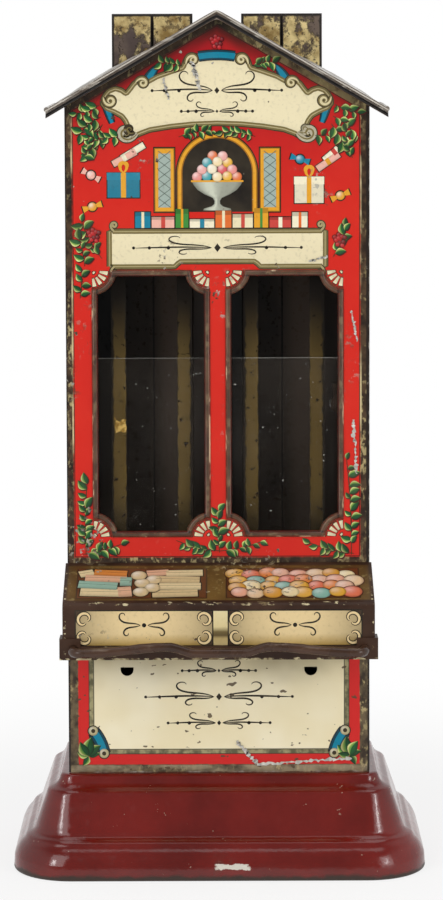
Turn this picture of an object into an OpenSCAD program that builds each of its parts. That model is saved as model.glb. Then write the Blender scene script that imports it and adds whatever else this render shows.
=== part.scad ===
// Toy sweet dispenser and money box in printed tinplate, shaped like a gabled shop front.
// Millimetres. X runs across the front, -Y is the front, Z is up.
// The origin is the middle of the underside.

/* [Tinplate] */
// Thickness of every folded sheet
tin = 0.6; // [0.5:0.05:0.7]
// Clearance between pieces that slide or swing past each other
gap = 0.3; // [0.25:0.05:0.35]

/* [Base] */
// Height of the pressed base
base_h = 32; // [26:1:40]
// Spread of the base from its platform out to its rim
base_flare = 15.6; // [14:0.2:20]
// Width of the platform left bare around the body
ledge = 3; // [2:0.5:5]
// Corner radius of the platform
platform_r = 4.5; // [3.5:0.5:7]
// Width of the upper step
step_w = 4.5; // [3:0.1:5.5]
// Height of the upper step
step_h = 5.6; // [4.4:0.2:7]
// Height of the lower step
low_step_h = 4; // [3:0.2:5]
// Height of the sloping foot under the lower step
foot_h = 10.4; // [9:0.2:12]
// Height of the upright skirt over the rim
skirt_h = 4.6; // [4:0.2:6]
// Radius of the rolled rim that the base stands on
rim_r = 1; // [0.8:0.1:1.2]

/* [Body] */
// Width across the side panels
body_w = 100; // [90:1:112]
// Depth from the front panel to the back door
body_d = 47; // [46.5:0.5:54]
// Height of the side panels
wall_h = 223; // [215:1:240]
// Rise of the gable from the eaves to the ridge
gable_rise = 29; // [25:1:36]
// Width of the flange that the back door closes against
jamb_w = 3; // [2:0.5:4]

/* [Windows] */
// Width of the front panel left outside each window
side_strip = 10.5; // [9.5:0.5:12]
// Clear height of each window
window_h = 84.7; // [70:0.5:95]
// Width of the post between the two windows
mullion_w = 9; // [7:0.2:12]
// Height of the window sills over the platform
sill_h = 81; // [78:0.5:86]
// Width of the raised bead round each window
bead_w = 2; // [1.4:0.2:3]
// Height that the bead stands out from the panel
bead_h = 1; // [0.6:0.1:1.4]
// Radius of the round notch in each window corner
notch_r = 6.3; // [4:0.1:8]
// Thickness of the pane
glass_t = 1.2; // [1:0.1:1.5]
// Height of the pane
glass_h = 64.5; // [50:0.5:80]
// Overlap of the pane past the outer side of each window
glass_lap = 5.8; // [3:0.1:6]

/* [Roof] */
// Overhang of the roof past the side panels
eave_over = 5.6; // [3:0.2:9]
// Overhang of the roof past the front panel
verge_over = 5; // [3:0.5:8]
// Height of the folded rim along the front of the roof
verge_h = 2.8; // [2:0.2:4]
// Radius of the rolled edge along each eave
eave_r = 0.9; // [0.8:0.1:1.2]

/* [Coins] */
// Diameter of the coin that works the machine
coin_d = 25; // [24:0.5:25.5]
// Side play of the coin in its chute
coin_play = 0.6; // [0.4:0.1:0.8]
// Depth of the coin chutes
coin_slot = 4.9; // [4.6:0.1:5]
// Height that the coin stands up through the magazine floor
coin_push = 4.6; // [4:0.2:5]
// Height of the chute mouths over the platform
mouth_h = 252; // [245:1:262]
// Width of the slit down the front of each chute
slit_w = 0.7; // [0.4:0.1:1]

/* [Magazines] */
// Width across the outside of each magazine
column_w = 27; // [26.5:0.1:27.4]
// Width of the lips that hold the sweets in
lip_w = 5; // [3:0.2:6]
// Distance from the front panel back to the lips
lip_back = 9; // [8:0.5:11]
// Height of the magazines over their floor
column_h = 146; // [135:1:150]

/* [Drawer] */
// Travel of the drawer
stroke = 30; // [28:0.5:32]
// Height of the drawer shelf over the platform
shelf_h = 36; // [34:0.5:38]
// Height of the drawer floor over the shelf
tray_lift = 6.9; // [5.5:0.1:8]
// Distance that the counter stands out from the body
counter_d = 24; // [20:0.5:28]
// Height of the counter front over the drawer floor
counter_front_h = 18.1; // [16.5:0.1:22]
// Height of the back of the counter over the drawer floor
counter_back_h = 27; // [25.5:0.1:28.5]
// Radius of the bend along the front of the counter
counter_bend = 2.4; // [1.5:0.1:3]
// Height of the rail along the foot of the counter
rail_h = 7; // [5:0.2:8]
// Height of that rail between its two raised ends
rail_low_h = 4.4; // [3.6:0.2:4.8]
// Thickness of that rail
rail_t = 1; // [0.8:0.1:1.4]
// Diameter of the pull bar
bar_d = 3; // [2.4:0.1:3.4]
// Finger room between the pull bar and the rail
bar_gap = 5; // [4.6:0.2:8]
// Rise of the two waves in the pull bar
bar_wave = 2; // [0:0.2:3]
// Distance of each end of the pull bar from the end of the rail
bar_inset = 4.5; // [3:0.5:8]

/* [Back door] */
// Radius of the hinge knuckles
knuckle_r = 1.2; // [1.1:0.05:1.3]
// Radius of the hinge wire
wire_r = 0.6; // [0.5:0.05:0.7]
// Radius of the lock plug
plug_r = 3.3; // [2.8:0.1:3.4]
// Distance of the lock from the edge of the body
lock_in = 8.1; // [7.8:0.1:8.4]
// Height of the lock over the platform
lock_h = 118; // [100:1:150]

/* [Hidden] */
$fn = 64;

red = "#a8231f";
enamel = "#6b1f1a";
brown = "#5a4330";
tinned = "#8d8a84";
brass = "#9a7c45";
cream = "#e6d6a8";
pane = "#cfdcd8";

// Play in a turning fit, on the radius
run_fit = 0.05;

// Heights
deck_z = base_h;
eave_z = deck_z + wall_h;
apex_z = eave_z + gable_rise;
shelf_z = deck_z + shelf_h + tin;
floor_z = shelf_z + coin_d - coin_push;
tray_z = shelf_z + tray_lift;
tray_top_z = floor_z - tin - gap;
// Room for a sweet to pass over the magazine floor and under the front panel
exit_h = 8;
panel_z = floor_z + exit_h;
mouth_z = deck_z + mouth_h;

// Depths, from the front to the back
front_y = -body_d / 2;
back_y = body_d / 2;
inner_y = front_y + tin;
door_y = back_y - tin;
jamb_y = door_y - gap;
// The chute's back is doubled so that its inside ends ahead of the coin carriage's back
chute_back = tin + 0.4;
chute_y1 = door_y - chute_back;
chute_y0 = chute_y1 - coin_slot;
column_y1 = chute_y0 - tin - gap - 0.2;
column_y0 = front_y + lip_back;
pocket_y1 = door_y - gap - tin - 0.05;
pocket_y0 = chute_y0 - gap;
tray_y1 = pocket_y0 - tin;
counter_y0 = front_y - counter_d;
counter_y1 = front_y - gap;

// Widths
half = body_w / 2;
slope = gable_rise / half;
// The windows fill the front panel between its strips, with the magazines and chutes behind their middles
window_w = half - side_strip - mullion_w / 2;
window_x = mullion_w / 2 + window_w / 2;
column_x = window_x;
coin_w = coin_d + 2 * coin_play;
chute_w = coin_w + 2 * tin;
pane_x = window_x + window_w / 2 + glass_lap;
tray_x = half - tin - 2.4;
cheek_x = half + tin;
rail_x = cheek_x + rail_t;
bar_x = rail_x - bar_inset;
hinge_x = -half + knuckle_r + 0.1;
hinge_y = back_y - knuckle_r;
lock_x = half - lock_in;
lock_z = deck_z + lock_h;

// A box between two corners
module block(low, high) {
  translate(low) cube(high - low);
}

// A flat outline in X and Z made into a sheet that starts at depth y
module upright(y, t) {
  translate([0, y + t, 0]) rotate([90, 0, 0]) linear_extrude(t) children();
}

// An outline in Y and Z drawn out along X from x0 to x1
module across(x0, x1) {
  translate([x0, 0, 0]) rotate([90, 0, 90]) linear_extrude(x1 - x0) children();
}

function roof_z(x) = apex_z - slope * abs(x);

function arc(cx, cy, rx, ry, a0, a1, n) =
  [for (i = [0:n]) let (a = a0 + (a1 - a0) * i / n) [cx + rx * cos(a), cy + ry * sin(a)]];

function moved(points, dx, dy) = [for (p = points) [p[0] + dx, p[1] + dy]];

function backwards(points) = [for (i = [len(points) - 1:-1:0]) points[i]];

// Base

corner_x = half + ledge - platform_r;
corner_y = body_d / 2 + ledge - platform_r;
edge_r = 0.6;
// Share of a step that is hollow, before it rolls over into the wall below
hollow = 0.72;
wall_fall = 0.7;
low_step_x = platform_r + 0.53 * base_flare;
low_step_w = 0.22 * base_flare;
foot_x = platform_r + 0.77 * base_flare;
foot_w = 0.22 * base_flare;

// One step of the pressing, hollow at first and then rolled over, w wide and h high
function ogee(x, z, w, h) = concat(
  [for (a = [0:15:75]) [x + hollow * w * (1 - cos(a)) / (1 - cos(75)), z - hollow * h * sin(a) / sin(75)]],
  [for (a = [40:25:90]) [x + w * (hollow + (1 - hollow) * sin(a)), z - h * (1 - (1 - hollow) * cos(a))]]);

// The foot lies halfway between a straight slope and a quarter round
function slope_over(x, z, w, h) =
  [for (i = [0:6]) let (t = i / 6) [x + w * (t + sin(90 * t)) / 2, z - h * (t + 1 - cos(90 * t)) / 2]];

// Outside of the pressing as distance from the corner centres and height
function base_skin() = concat(
  [[platform_r - edge_r, base_h]],
  ogee(platform_r, base_h - edge_r, step_w, step_h),
  ogee(low_step_x, foot_h + wall_fall + low_step_h, low_step_w, low_step_h),
  slope_over(foot_x, foot_h, foot_w, foot_h - skirt_h));

// Rim rolled inward under the skirt
function base_rim() = arc(platform_r + base_flare - rim_r, rim_r, rim_r, rim_r, 0, -270, 9);

// Sweeps an outline round the four sides and corners of the platform
module round_platform() {
  for (k = [0:3]) {
    a = k % 2 == 0 ? corner_x : corner_y;
    b = k % 2 == 0 ? corner_y : corner_x;
    rotate([0, 0, 90 * k]) translate([a, b, 0]) {
      rotate([90, 0, 0]) linear_extrude(2 * b) children();
      rotate_extrude(angle = 90) children();
    }
  }
}

module base_plinth() {
  color(enamel) {
    block([-corner_x, -corner_y, base_h - tin], [corner_x, corner_y, base_h]);
    round_platform() polygon(concat([[0, base_h]], base_skin(), base_rim(),
      backwards(moved(base_skin(), -tin, -tin)), [[0, base_h - tin]]));
  }
}

module base_bottom() {
  reach = platform_r + base_flare - 2 * rim_r - 0.1;
  color(tinned) linear_extrude(tin) {
    square([2 * (corner_x + reach), 2 * corner_y], center = true);
    square([2 * corner_x, 2 * (corner_y + reach)], center = true);
    for (x = [-1, 1], y = [-1, 1]) translate([x * corner_x, y * corner_y]) circle(reach);
  }
}

// Body

// Clear outline of a window grown by g, with a round notch in each corner
module window_outline(g) {
  translate([0, deck_z + sill_h + window_h / 2]) for (side = [-1, 1]) translate([side * window_x, 0])
    difference() {
      square([window_w + 2 * g, window_h + 2 * g], center = true);
      for (x = [-1, 1], z = [-1, 1])
        translate([x * (window_w / 2 + bead_w), z * (window_h / 2 + bead_w)])
          circle(notch_r + bead_w - g);
    }
}

module front_panel() {
  color(red) {
    upright(front_y, tin) difference() {
      polygon([[-half, panel_z], [half, panel_z], [half, eave_z], [0, apex_z], [-half, eave_z]]);
      window_outline(0);
    }
    // The bead is pressed in four levels of a half ellipse
    for (a = [20, 42, 64, 86]) {
      inset = bead_w / 2 * (1 - cos(a));
      upright(front_y - bead_h * sin(a), bead_h * sin(a) + tin / 2) difference() {
        window_outline(bead_w - inset);
        window_outline(inset);
      }
    }
  }
}

tab_x = column_x + 8.5;
tab_r = 2.15;
tab_len = 3.5;

// Flat-topped tongue lanced out of the lower panel to carry the shelf
module tongue() {
  translate([-tab_r, -(tab_len - tab_r)]) square([2 * tab_r, tab_len - tab_r]);
  translate([0, -(tab_len - tab_r)]) intersection() {
    circle(tab_r);
    translate([-tab_r, -tab_r]) square([2 * tab_r, tab_r]);
  }
}

module lower_front_panel() {
  top_z = tray_z - gap;
  tab_z = shelf_z - tin;
  color(cream) {
    upright(front_y, tin) difference() {
      translate([-half, deck_z]) square([body_w, top_z - deck_z]);
      for (side = [-1, 1]) translate([side * tab_x, tab_z]) tongue();
    }
    for (side = [-1, 1]) translate([side * tab_x, front_y, tab_z - tin])
      linear_extrude(tin) mirror([0, 1]) tongue();
  }
}

// Fixed knuckles rolled from the side panel take turns with the door's own knuckles
knuckles = 7;
hinge_low = 10;
hinge_high = 12;
hinge_z0 = deck_z + hinge_low;
hinge_z1 = eave_z - hinge_high;
knuckle_h = (hinge_z1 - hinge_z0) / knuckles;

module side_sheet(y1) {
  upright(inner_y, y1 - inner_y)
    polygon([[half - tin, deck_z], [half, deck_z], [half, roof_z(half)], [half - tin, roof_z(half - tin)]]);
}

module left_side_panel() {
  side_y = hinge_y - knuckle_r - gap;
  color(red) {
    mirror([1, 0, 0]) side_sheet(side_y);
    for (i = [0:2:knuckles - 1]) {
      z = hinge_z0 + i * knuckle_h;
      block([-half, side_y - 1, z], [-half + tin, hinge_y, z + knuckle_h]);
      difference() {
        translate([hinge_x, hinge_y, z]) cylinder(h = knuckle_h, r = knuckle_r);
        translate([hinge_x, hinge_y, z - 1]) cylinder(h = knuckle_h + 2, r = wire_r + run_fit);
      }
    }
  }
}

module right_side_panel() {
  color(red) {
    side_sheet(jamb_y);
    block([half - tin - jamb_w, jamb_y - tin, deck_z], [half - tin / 2, jamb_y, eave_z - 2]);
  }
}

module roof() {
  tip = half + eave_over;
  drop = tin * sqrt(1 + slope * slope);
  y0 = front_y - verge_over;
  notch = chute_w / 2 + gap + 0.4;
  color(tinned) {
    difference() {
      upright(y0, back_y - y0)
        polygon([[-tip, roof_z(tip)], [0, apex_z], [tip, roof_z(tip)],
          [tip, roof_z(tip) + drop], [0, apex_z + drop], [-tip, roof_z(tip) + drop]]);
      for (side = [-1, 1])
        block([side * column_x - notch, chute_y0 - tin - gap - 0.2, eave_z - 10],
          [side * column_x + notch, back_y + 1, apex_z + 5]);
    }
    upright(y0, 2 * tin)
      polygon([[-tip, roof_z(tip) - verge_h + drop], [0, apex_z - verge_h + drop],
        [tip, roof_z(tip) - verge_h + drop], [tip, roof_z(tip) + drop / 2], [0, apex_z + drop / 2],
        [-tip, roof_z(tip) + drop / 2]]);
    for (side = [-1, 1])
      translate([side * tip, y0, roof_z(tip) + drop / 2]) rotate([-90, 0, 0])
        cylinder(h = back_y - y0, r = eave_r);
  }
}

// The pane stands low, as in the photograph, and leaves the tops of the windows open
glass_z = deck_z + sill_h - 7;
glass_y = inner_y + gap;

module window_glass() {
  color(pane) block([-pane_x, glass_y, glass_z], [pane_x, glass_y + glass_t, glass_z + glass_h]);
}

channel_leg = 3;

module glass_channel() {
  x0 = pane_x + gap;
  y1 = glass_y + glass_t + gap;
  z1 = deck_z + sill_h + window_h + 3;
  color(brass) {
    block([x0, inner_y, glass_z], [x0 + tin, y1 + tin, z1]);
    block([x0 - channel_leg, y1, glass_z], [x0 + tin, y1 + tin, z1]);
  }
}

module left_glass_channel() {
  mirror([1, 0, 0]) glass_channel();
}

module right_glass_channel() {
  glass_channel();
}

// Folded strip under the pane, its back turned up between the two channels
module glass_sill() {
  y1 = glass_y + glass_t + gap + tin;
  x1 = pane_x - channel_leg;
  color(brass) {
    block([-pane_x, inner_y, glass_z - tin], [pane_x, y1, glass_z]);
    block([-x1, y1 - tin, glass_z - tin], [x1, y1, glass_z + 3]);
  }
}

// Magazines

// Width of the coin where it passes through the magazine floor
coin_chord = 2 * sqrt((coin_push + tin) * (coin_d - coin_push - tin));
floor_y0 = inner_y + 2.4;

module magazine_floor() {
  slot = coin_chord + 2 * coin_play + gap;
  color(brass) difference() {
    block([-half + tin, floor_y0, floor_z - tin], [half - tin, column_y1, floor_z]);
    for (side = [-1, 1])
      block([side * column_x - slot / 2, pocket_y0 - stroke - 1.5, floor_z - 2],
        [side * column_x + slot / 2, column_y1 + 1, floor_z + 1]);
  }
}

module magazine_top() {
  z = floor_z + column_h;
  color(brass) block([-half + tin, floor_y0, z], [half - tin, column_y1, z + tin]);
}

// One side of a magazine standing on the floor, with its lip turned toward the middle of the sweets
module rail(side, inward) {
  x = side * column_x - inward * column_w / 2;
  color(brass) {
    block([min(x, x + inward * tin), column_y0, floor_z],
      [max(x, x + inward * tin), column_y1, floor_z + column_h]);
    block([min(x, x + inward * lip_w), column_y0, floor_z + exit_h],
      [max(x, x + inward * lip_w), column_y0 + tin, floor_z + column_h]);
  }
}

module left_outer_rail() {
  rail(-1, 1);
}

module left_inner_rail() {
  rail(-1, -1);
}

module right_inner_rail() {
  rail(1, 1);
}

module right_outer_rail() {
  rail(1, -1);
}

// Drawer shelf

module drawer_shelf() {
  y1 = hinge_y - knuckle_r - gap;
  hole = coin_w / 2 + gap;
  color(brass) difference() {
    union() {
      block([-half + tin, inner_y, shelf_z - tin], [half - tin, y1, shelf_z]);
      block([-column_x - coin_w / 2 - 3, y1 - 1, shelf_z - tin],
        [column_x + coin_w / 2 + 3, pocket_y1 + tin, shelf_z]);
    }
    for (side = [-1, 1])
      block([side * column_x - hole, pocket_y0 - stroke - gap, shelf_z - 2],
        [side * column_x + hole, pocket_y1 - stroke + gap, shelf_z + 1]);
  }
}

runner_w = 3;

module runner(side) {
  x = side * (tray_x - 3.5);
  color(brass) block([x - runner_w / 2, inner_y, shelf_z],
    [x + runner_w / 2, hinge_y - knuckle_r - 2 * gap, tray_z - gap]);
}

module left_runner() {
  runner(-1);
}

module right_runner() {
  runner(1);
}

// Back door with the coin chutes

module hinge_wire() {
  over = 1;
  color(tinned) translate([hinge_x, hinge_y, hinge_z0 - over])
    cylinder(h = hinge_z1 - hinge_z0 + 2 * over, r = wire_r);
}

module back_door() {
  x1 = half - 0.2;
  lower = gap + 0.2;
  clear = knuckle_r + gap;
  // The corner over the hinge is cut away so that it swings out under the roof
  corner_z = roof_z(half + knuckle_r) - lower;
  color(brown) difference() {
    union() {
      upright(door_y, tin)
        polygon([[hinge_x, deck_z + gap], [x1, deck_z + gap], [x1, roof_z(x1) - lower],
          [0, apex_z - lower], [hinge_x + 3 * knuckle_r, roof_z(hinge_x + 3 * knuckle_r) - lower],
          [hinge_x + 2 * knuckle_r, corner_z], [hinge_x, corner_z]]);
      for (i = [1:2:knuckles - 2])
        translate([hinge_x, hinge_y, hinge_z0 + i * knuckle_h + gap])
          cylinder(h = knuckle_h - 2 * gap, r = knuckle_r);
    }
    for (i = [0:2:knuckles - 1]) {
      z = hinge_z0 + i * knuckle_h;
      block([hinge_x - clear, door_y - 2, z - gap], [hinge_x + clear, back_y + 1, z + knuckle_h + gap]);
    }
    translate([hinge_x, hinge_y, hinge_z0 - 2])
      cylinder(h = hinge_z1 - hinge_z0 + 4, r = wire_r + run_fit);
    translate([lock_x, door_y - 1, lock_z]) rotate([-90, 0, 0]) cylinder(h = 3, r = plug_r + run_fit);
  }
}

// Flat tube that leads a coin straight down into the carriage of the drawer
module coin_chute(side) {
  x = side * column_x;
  z0 = floor_z - tin;
  coin_z = shelf_z + coin_d + 1;
  color(brass) difference() {
    block([x - chute_w / 2, chute_y0 - tin, z0], [x + chute_w / 2, door_y, mouth_z]);
    block([x - coin_w / 2, chute_y0, z0 - 1], [x + coin_w / 2, chute_y1, mouth_z + 1]);
    block([x - chute_w / 2 - 1, chute_y0 - tin - 1, z0 - 1],
      [x + chute_w / 2 + 1, chute_y0 + 0.01, coin_z]);
    block([x - slit_w / 2, chute_y0 - tin - 1, coin_z + 10],
      [x + slit_w / 2, chute_y0 + 0.01, mouth_z - 0.8]);
  }
}

module left_coin_chute() {
  coin_chute(-1);
}

module right_coin_chute() {
  coin_chute(1);
}

plate_t = 0.8;

module keyhole_plate() {
  color(brass) translate([lock_x, back_y, lock_z]) rotate([-90, 0, 0]) difference() {
    cylinder(h = plate_t, r = plug_r + 2.4);
    translate([0, 0, -1]) cylinder(h = plate_t + 2, r = plug_r + run_fit);
  }
}

// Plug with the keyhole, and the cam that turns behind the flange of the side panel
module lock_plug() {
  cam_t = 1;
  cam_y = jamb_y - tin - gap - cam_t;
  cam_len = lock_in - tin - gap - 0.2;
  end_y = back_y + plate_t + 0.3;
  color(brass) difference() {
    union() {
      translate([lock_x, cam_y, lock_z]) rotate([-90, 0, 0]) cylinder(h = end_y - cam_y, r = plug_r);
      block([lock_x - 2.5, cam_y, lock_z], [lock_x + 2.5, cam_y + cam_t, lock_z + cam_len]);
    }
    translate([lock_x, end_y - 1.6, lock_z + 0.9]) rotate([-90, 0, 0]) cylinder(h = 3, r = 0.9);
    block([lock_x - 0.5, end_y - 1.6, lock_z - 2], [lock_x + 0.5, end_y + 1, lock_z + 0.9]);
  }
}

// Drawer

stop_y = inner_y + stroke + gap;

module drawer_tray() {
  front = counter_y0 + tin;
  color(brass) {
    block([-tray_x, front, tray_z], [tray_x, tray_y1, tray_z + tin]);
    block([-cheek_x + tin, front, tray_z], [cheek_x - tin, counter_y1, tray_z + tin]);
    for (side = [-1, 1]) {
      block([side * (tray_x - tin / 2) - tin / 2, front, tray_z],
        [side * (tray_x - tin / 2) + tin / 2, tray_y1, tray_top_z]);
      block([side * (tray_x - 7.5) - 1.5, stop_y, tray_z - 4],
        [side * (tray_x - 7.5) + 1.5, stop_y + tin, tray_z + tin]);
    }
    block([-tray_x, tray_y1 - tin, tray_z], [tray_x, tray_y1, tray_top_z]);
  }
}

module tray_divider() {
  color(brass) block([-tin / 2, counter_y0 + tin, tray_z + tin], [tin / 2, tray_y1 - tin, tray_top_z]);
}

// Two bottomless pockets that carry the coins over the shelf
module coin_carriage() {
  x1 = column_x + coin_w / 2 + tin;
  color(brass) difference() {
    block([-x1, tray_y1, shelf_z + gap], [x1, pocket_y1 + tin, tray_top_z]);
    for (side = [-1, 1])
      block([side * column_x - coin_w / 2, pocket_y0, shelf_z - 1],
        [side * column_x + coin_w / 2, pocket_y1, floor_z]);
    block([-column_x + coin_w / 2 + tin, pocket_y0, shelf_z - 1],
      [column_x - coin_w / 2 - tin, pocket_y1, floor_z]);
  }
}

// Section of the counter sheet, from its back edge over the bend and down the front
fall = counter_back_h - counter_front_h;
lean = atan2(fall, counter_d - gap);

function counter_skin(r, back) = concat(
  [[counter_y1, tray_z + counter_back_h - back]],
  arc(counter_y0 + counter_bend, tray_z + counter_front_h - counter_bend, r, r, 90 + lean, 180, 6),
  [[counter_y0 + counter_bend - r, tray_z]]);

module counter_shell() {
  color(brown) {
    across(-cheek_x, cheek_x)
      polygon(concat(counter_skin(counter_bend, 0), backwards(counter_skin(counter_bend - tin, tin))));
    for (side = [-1, 1]) across(side * (cheek_x - tin / 2) - tin / 2, side * (cheek_x - tin / 2) + tin / 2)
      polygon(concat(counter_skin(counter_bend, 0), [[counter_y1, tray_z]]));
  }
}

rail_drop = 0.5;
rail_ear = 6;
rail_end = bar_inset + bar_d / 2 + 0.9;
rail_z = tray_z - rail_drop;
bar_y = counter_y0 - rail_t - bar_gap - bar_d / 2;
bar_z = rail_z + rail_h / 2;

module counter_rail() {
  color(brown) difference() {
    union() {
      block([-rail_x, counter_y0 - rail_t, rail_z], [rail_x, counter_y0, rail_z + rail_h]);
      for (side = [-1, 1])
        block([side * (rail_x - rail_t / 2) - rail_t / 2, counter_y0 - rail_t, rail_z],
          [side * (rail_x - rail_t / 2) + rail_t / 2, counter_y0 + rail_ear, rail_z + rail_h]);
    }
    block([-rail_x + rail_end, counter_y0 - rail_t - 1, rail_z + rail_low_h],
      [rail_x - rail_end, counter_y0 + 1, rail_z + rail_h + 1]);
    for (side = [-1, 1])
      translate([side * bar_x, counter_y0 - rail_t - 1, bar_z]) rotate([-90, 0, 0])
        cylinder(h = rail_t + 2, r = bar_d / 2 + run_fit);
  }
}

// The pull bar follows two waves across the counter and turns back into the rail at each end
wave_x = 16.5;
flat_x = 7;
bar_r = 3.2;

function smooth(t) = let (u = min(1, max(0, t))) u * u * (3 - 2 * u);

function wave(x) = bar_wave * smooth((abs(x) - flat_x) / (wave_x - flat_x))
  * (1 - smooth((abs(x) - wave_x) / (bar_x - bar_r - wave_x)));

function bar_half() = concat(
  [for (i = [0:20]) let (x = (bar_x - bar_r) * i / 20) [x, bar_y, bar_z + wave(x), 0]],
  [for (i = [1:6]) let (a = 15 * i)
    [bar_x - bar_r + bar_r * sin(a), bar_y + bar_r * (1 - cos(a)), bar_z, a]],
  [[bar_x, counter_y0, bar_z, 90]]);

function bar_path() = concat(
  [for (p = backwards(bar_half())) if (p[0] > 0) [-p[0], p[1], p[2], -p[3]]], bar_half());

module pull_bar() {
  path = bar_path();
  sides = 12;
  rings = len(path);
  r = bar_d / 2;
  points = [for (p = path, k = [0:sides - 1]) let (b = 360 * k / sides)
    [p[0] + r * cos(b) * sin(p[3]), p[1] - r * cos(b) * cos(p[3]), p[2] + r * sin(b)]];
  faces = concat(
    [[for (k = [0:sides - 1]) k]],
    [for (i = [0:rings - 2], k = [0:sides - 1])
      [i * sides + k, (i + 1) * sides + k, (i + 1) * sides + (k + 1) % sides, i * sides + (k + 1) % sides]],
    [[for (k = [sides - 1:-1:0]) (rings - 1) * sides + k]]);
  color(brown) polyhedron(points, faces, convexity = 4);
}

base_plinth();
base_bottom();
front_panel();
lower_front_panel();
left_side_panel();
right_side_panel();
roof();
window_glass();
left_glass_channel();
right_glass_channel();
glass_sill();
magazine_floor();
magazine_top();
left_outer_rail();
left_inner_rail();
right_inner_rail();
right_outer_rail();
drawer_shelf();
left_runner();
right_runner();
hinge_wire();
back_door();
left_coin_chute();
right_coin_chute();
keyhole_plate();
lock_plug();
drawer_tray();
tray_divider();
coin_carriage();
counter_shell();
counter_rail();
pull_bar();
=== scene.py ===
import bpy
import numpy as np
from mathutils import Matrix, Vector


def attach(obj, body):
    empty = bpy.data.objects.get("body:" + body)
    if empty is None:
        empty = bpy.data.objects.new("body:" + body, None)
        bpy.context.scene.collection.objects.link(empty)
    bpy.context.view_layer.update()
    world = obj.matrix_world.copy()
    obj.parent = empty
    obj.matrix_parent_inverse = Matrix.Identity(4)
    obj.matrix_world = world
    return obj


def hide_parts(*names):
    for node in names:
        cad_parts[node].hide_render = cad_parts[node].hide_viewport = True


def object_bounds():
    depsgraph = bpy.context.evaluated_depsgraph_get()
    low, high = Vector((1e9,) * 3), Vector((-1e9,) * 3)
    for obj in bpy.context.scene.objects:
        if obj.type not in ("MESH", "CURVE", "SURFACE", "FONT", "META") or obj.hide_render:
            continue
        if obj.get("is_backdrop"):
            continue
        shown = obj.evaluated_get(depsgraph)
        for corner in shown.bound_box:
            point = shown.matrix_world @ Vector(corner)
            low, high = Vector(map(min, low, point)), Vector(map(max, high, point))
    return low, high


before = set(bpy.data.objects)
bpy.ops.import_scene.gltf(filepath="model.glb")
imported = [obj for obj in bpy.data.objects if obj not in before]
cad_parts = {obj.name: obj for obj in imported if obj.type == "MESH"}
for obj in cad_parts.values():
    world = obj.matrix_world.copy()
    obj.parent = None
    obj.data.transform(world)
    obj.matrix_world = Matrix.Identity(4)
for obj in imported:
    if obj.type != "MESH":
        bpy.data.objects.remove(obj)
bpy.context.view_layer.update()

# Plinth: one stepped, round-cornered pressing in tinplate, stove-enamelled dark red all over.
# Its rim is rolled inward under the skirt and has lost its enamel where the toy was dragged about.

MM = 0.001
SHARP_ANGLE = np.radians(40)


def ink(code):
    """A printed colour, written as six hex digits, as the linear red, green, blue and alpha of a shader."""
    value = np.array([int(code[i:i + 2], 16) for i in (0, 2, 4)]) / 255
    linear = np.where(value > 0.04045, ((value + 0.055) / 1.055) ** 2.4, value / 12.92)
    return (*(float(v) for v in linear), 1.0)


class Tone:
    """One socket of a finish. Sums of tones add Math nodes, and any other node comes from add()."""

    def __init__(self, tree, socket=None):
        self.tree = tree
        self.socket = socket

    def add(self, kind, sockets, out=0, **settings):
        node = self.tree.nodes.new("ShaderNode" + kind)
        for key, value in settings.items():
            setattr(node, key, value)
        for key, value in sockets.items():
            if isinstance(value, Tone):
                self.tree.links.new(value.socket, node.inputs[key])
            else:
                node.inputs[key].default_value = value
        return Tone(self.tree, node.outputs[out] if node.outputs else None)

    def sum(self, operation, first, second):
        return self.add("Math", {0: first, 1: second}, operation=operation)

    def __add__(self, other):
        return self.sum("ADD", self, other)

    def __radd__(self, other):
        return self.sum("ADD", other, self)

    def __sub__(self, other):
        return self.sum("SUBTRACT", self, other)

    def __rsub__(self, other):
        return self.sum("SUBTRACT", other, self)

    def __mul__(self, other):
        return self.sum("MULTIPLY", self, other)

    def __abs__(self):
        return self.sum("ABSOLUTE", self, 0.0)

    def most(self, other):
        return self.sum("MAXIMUM", self, other)

    def least(self, other):
        return self.sum("MINIMUM", self, other)

    def ease(self, low, high):
        """0 below low, 1 above high, smooth between; with low above high it falls instead."""
        sockets = {"Value": self, "From Min": low, "From Max": high}
        return self.add("MapRange", sockets, interpolation_type="SMOOTHSTEP")

    def mix(self, first, second):
        """Colour that goes from first to second, tones or six hex digits, as this tone goes from 0 to 1."""
        first, second = (ink(tint) if isinstance(tint, str) else tint for tint in (first, second))
        return self.add("Mix", {0: self, 6: first, 7: second}, 2, data_type="RGBA")


def new_finish(name):
    """An empty finish, and the object's own coordinates as its first tone."""
    material = bpy.data.materials.new(name)
    material.use_nodes = True
    material.node_tree.nodes.clear()
    return material, Tone(material.node_tree).add("TexCoord", {}, "Object")


def grain(place, scale, detail=3.0, stretch=(1, 1, 1), rough=0.55):
    """Cloudy noise from 0 to 1, scale lumps to the metre, drawn out where a stretch is below 1."""
    spot = place.add("Mapping", {"Vector": place, "Scale": tuple(scale * s for s in stretch)})
    return place.add("TexNoise", {"Vector": spot, "Scale": 1.0, "Detail": detail, "Roughness": rough})


def stray(place, scale, detail, span):
    """Noise to both sides of 0, over a span in all, that makes a drawn line uneven."""
    return (grain(place, scale, detail) - 0.5) * span


def axes(place):
    """The three coordinates of a place, in millimetres."""
    return [place.add("SeparateXYZ", {0: place}, i) * 1000.0 for i in range(3)]


def coats(colour, *layers):
    """A ground colour with layers over it, the lowest first, each a mask from 0 to 1 and its colour."""
    for mask, tint in layers:
        colour = mask.mix(colour, tint)
    return colour


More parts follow.
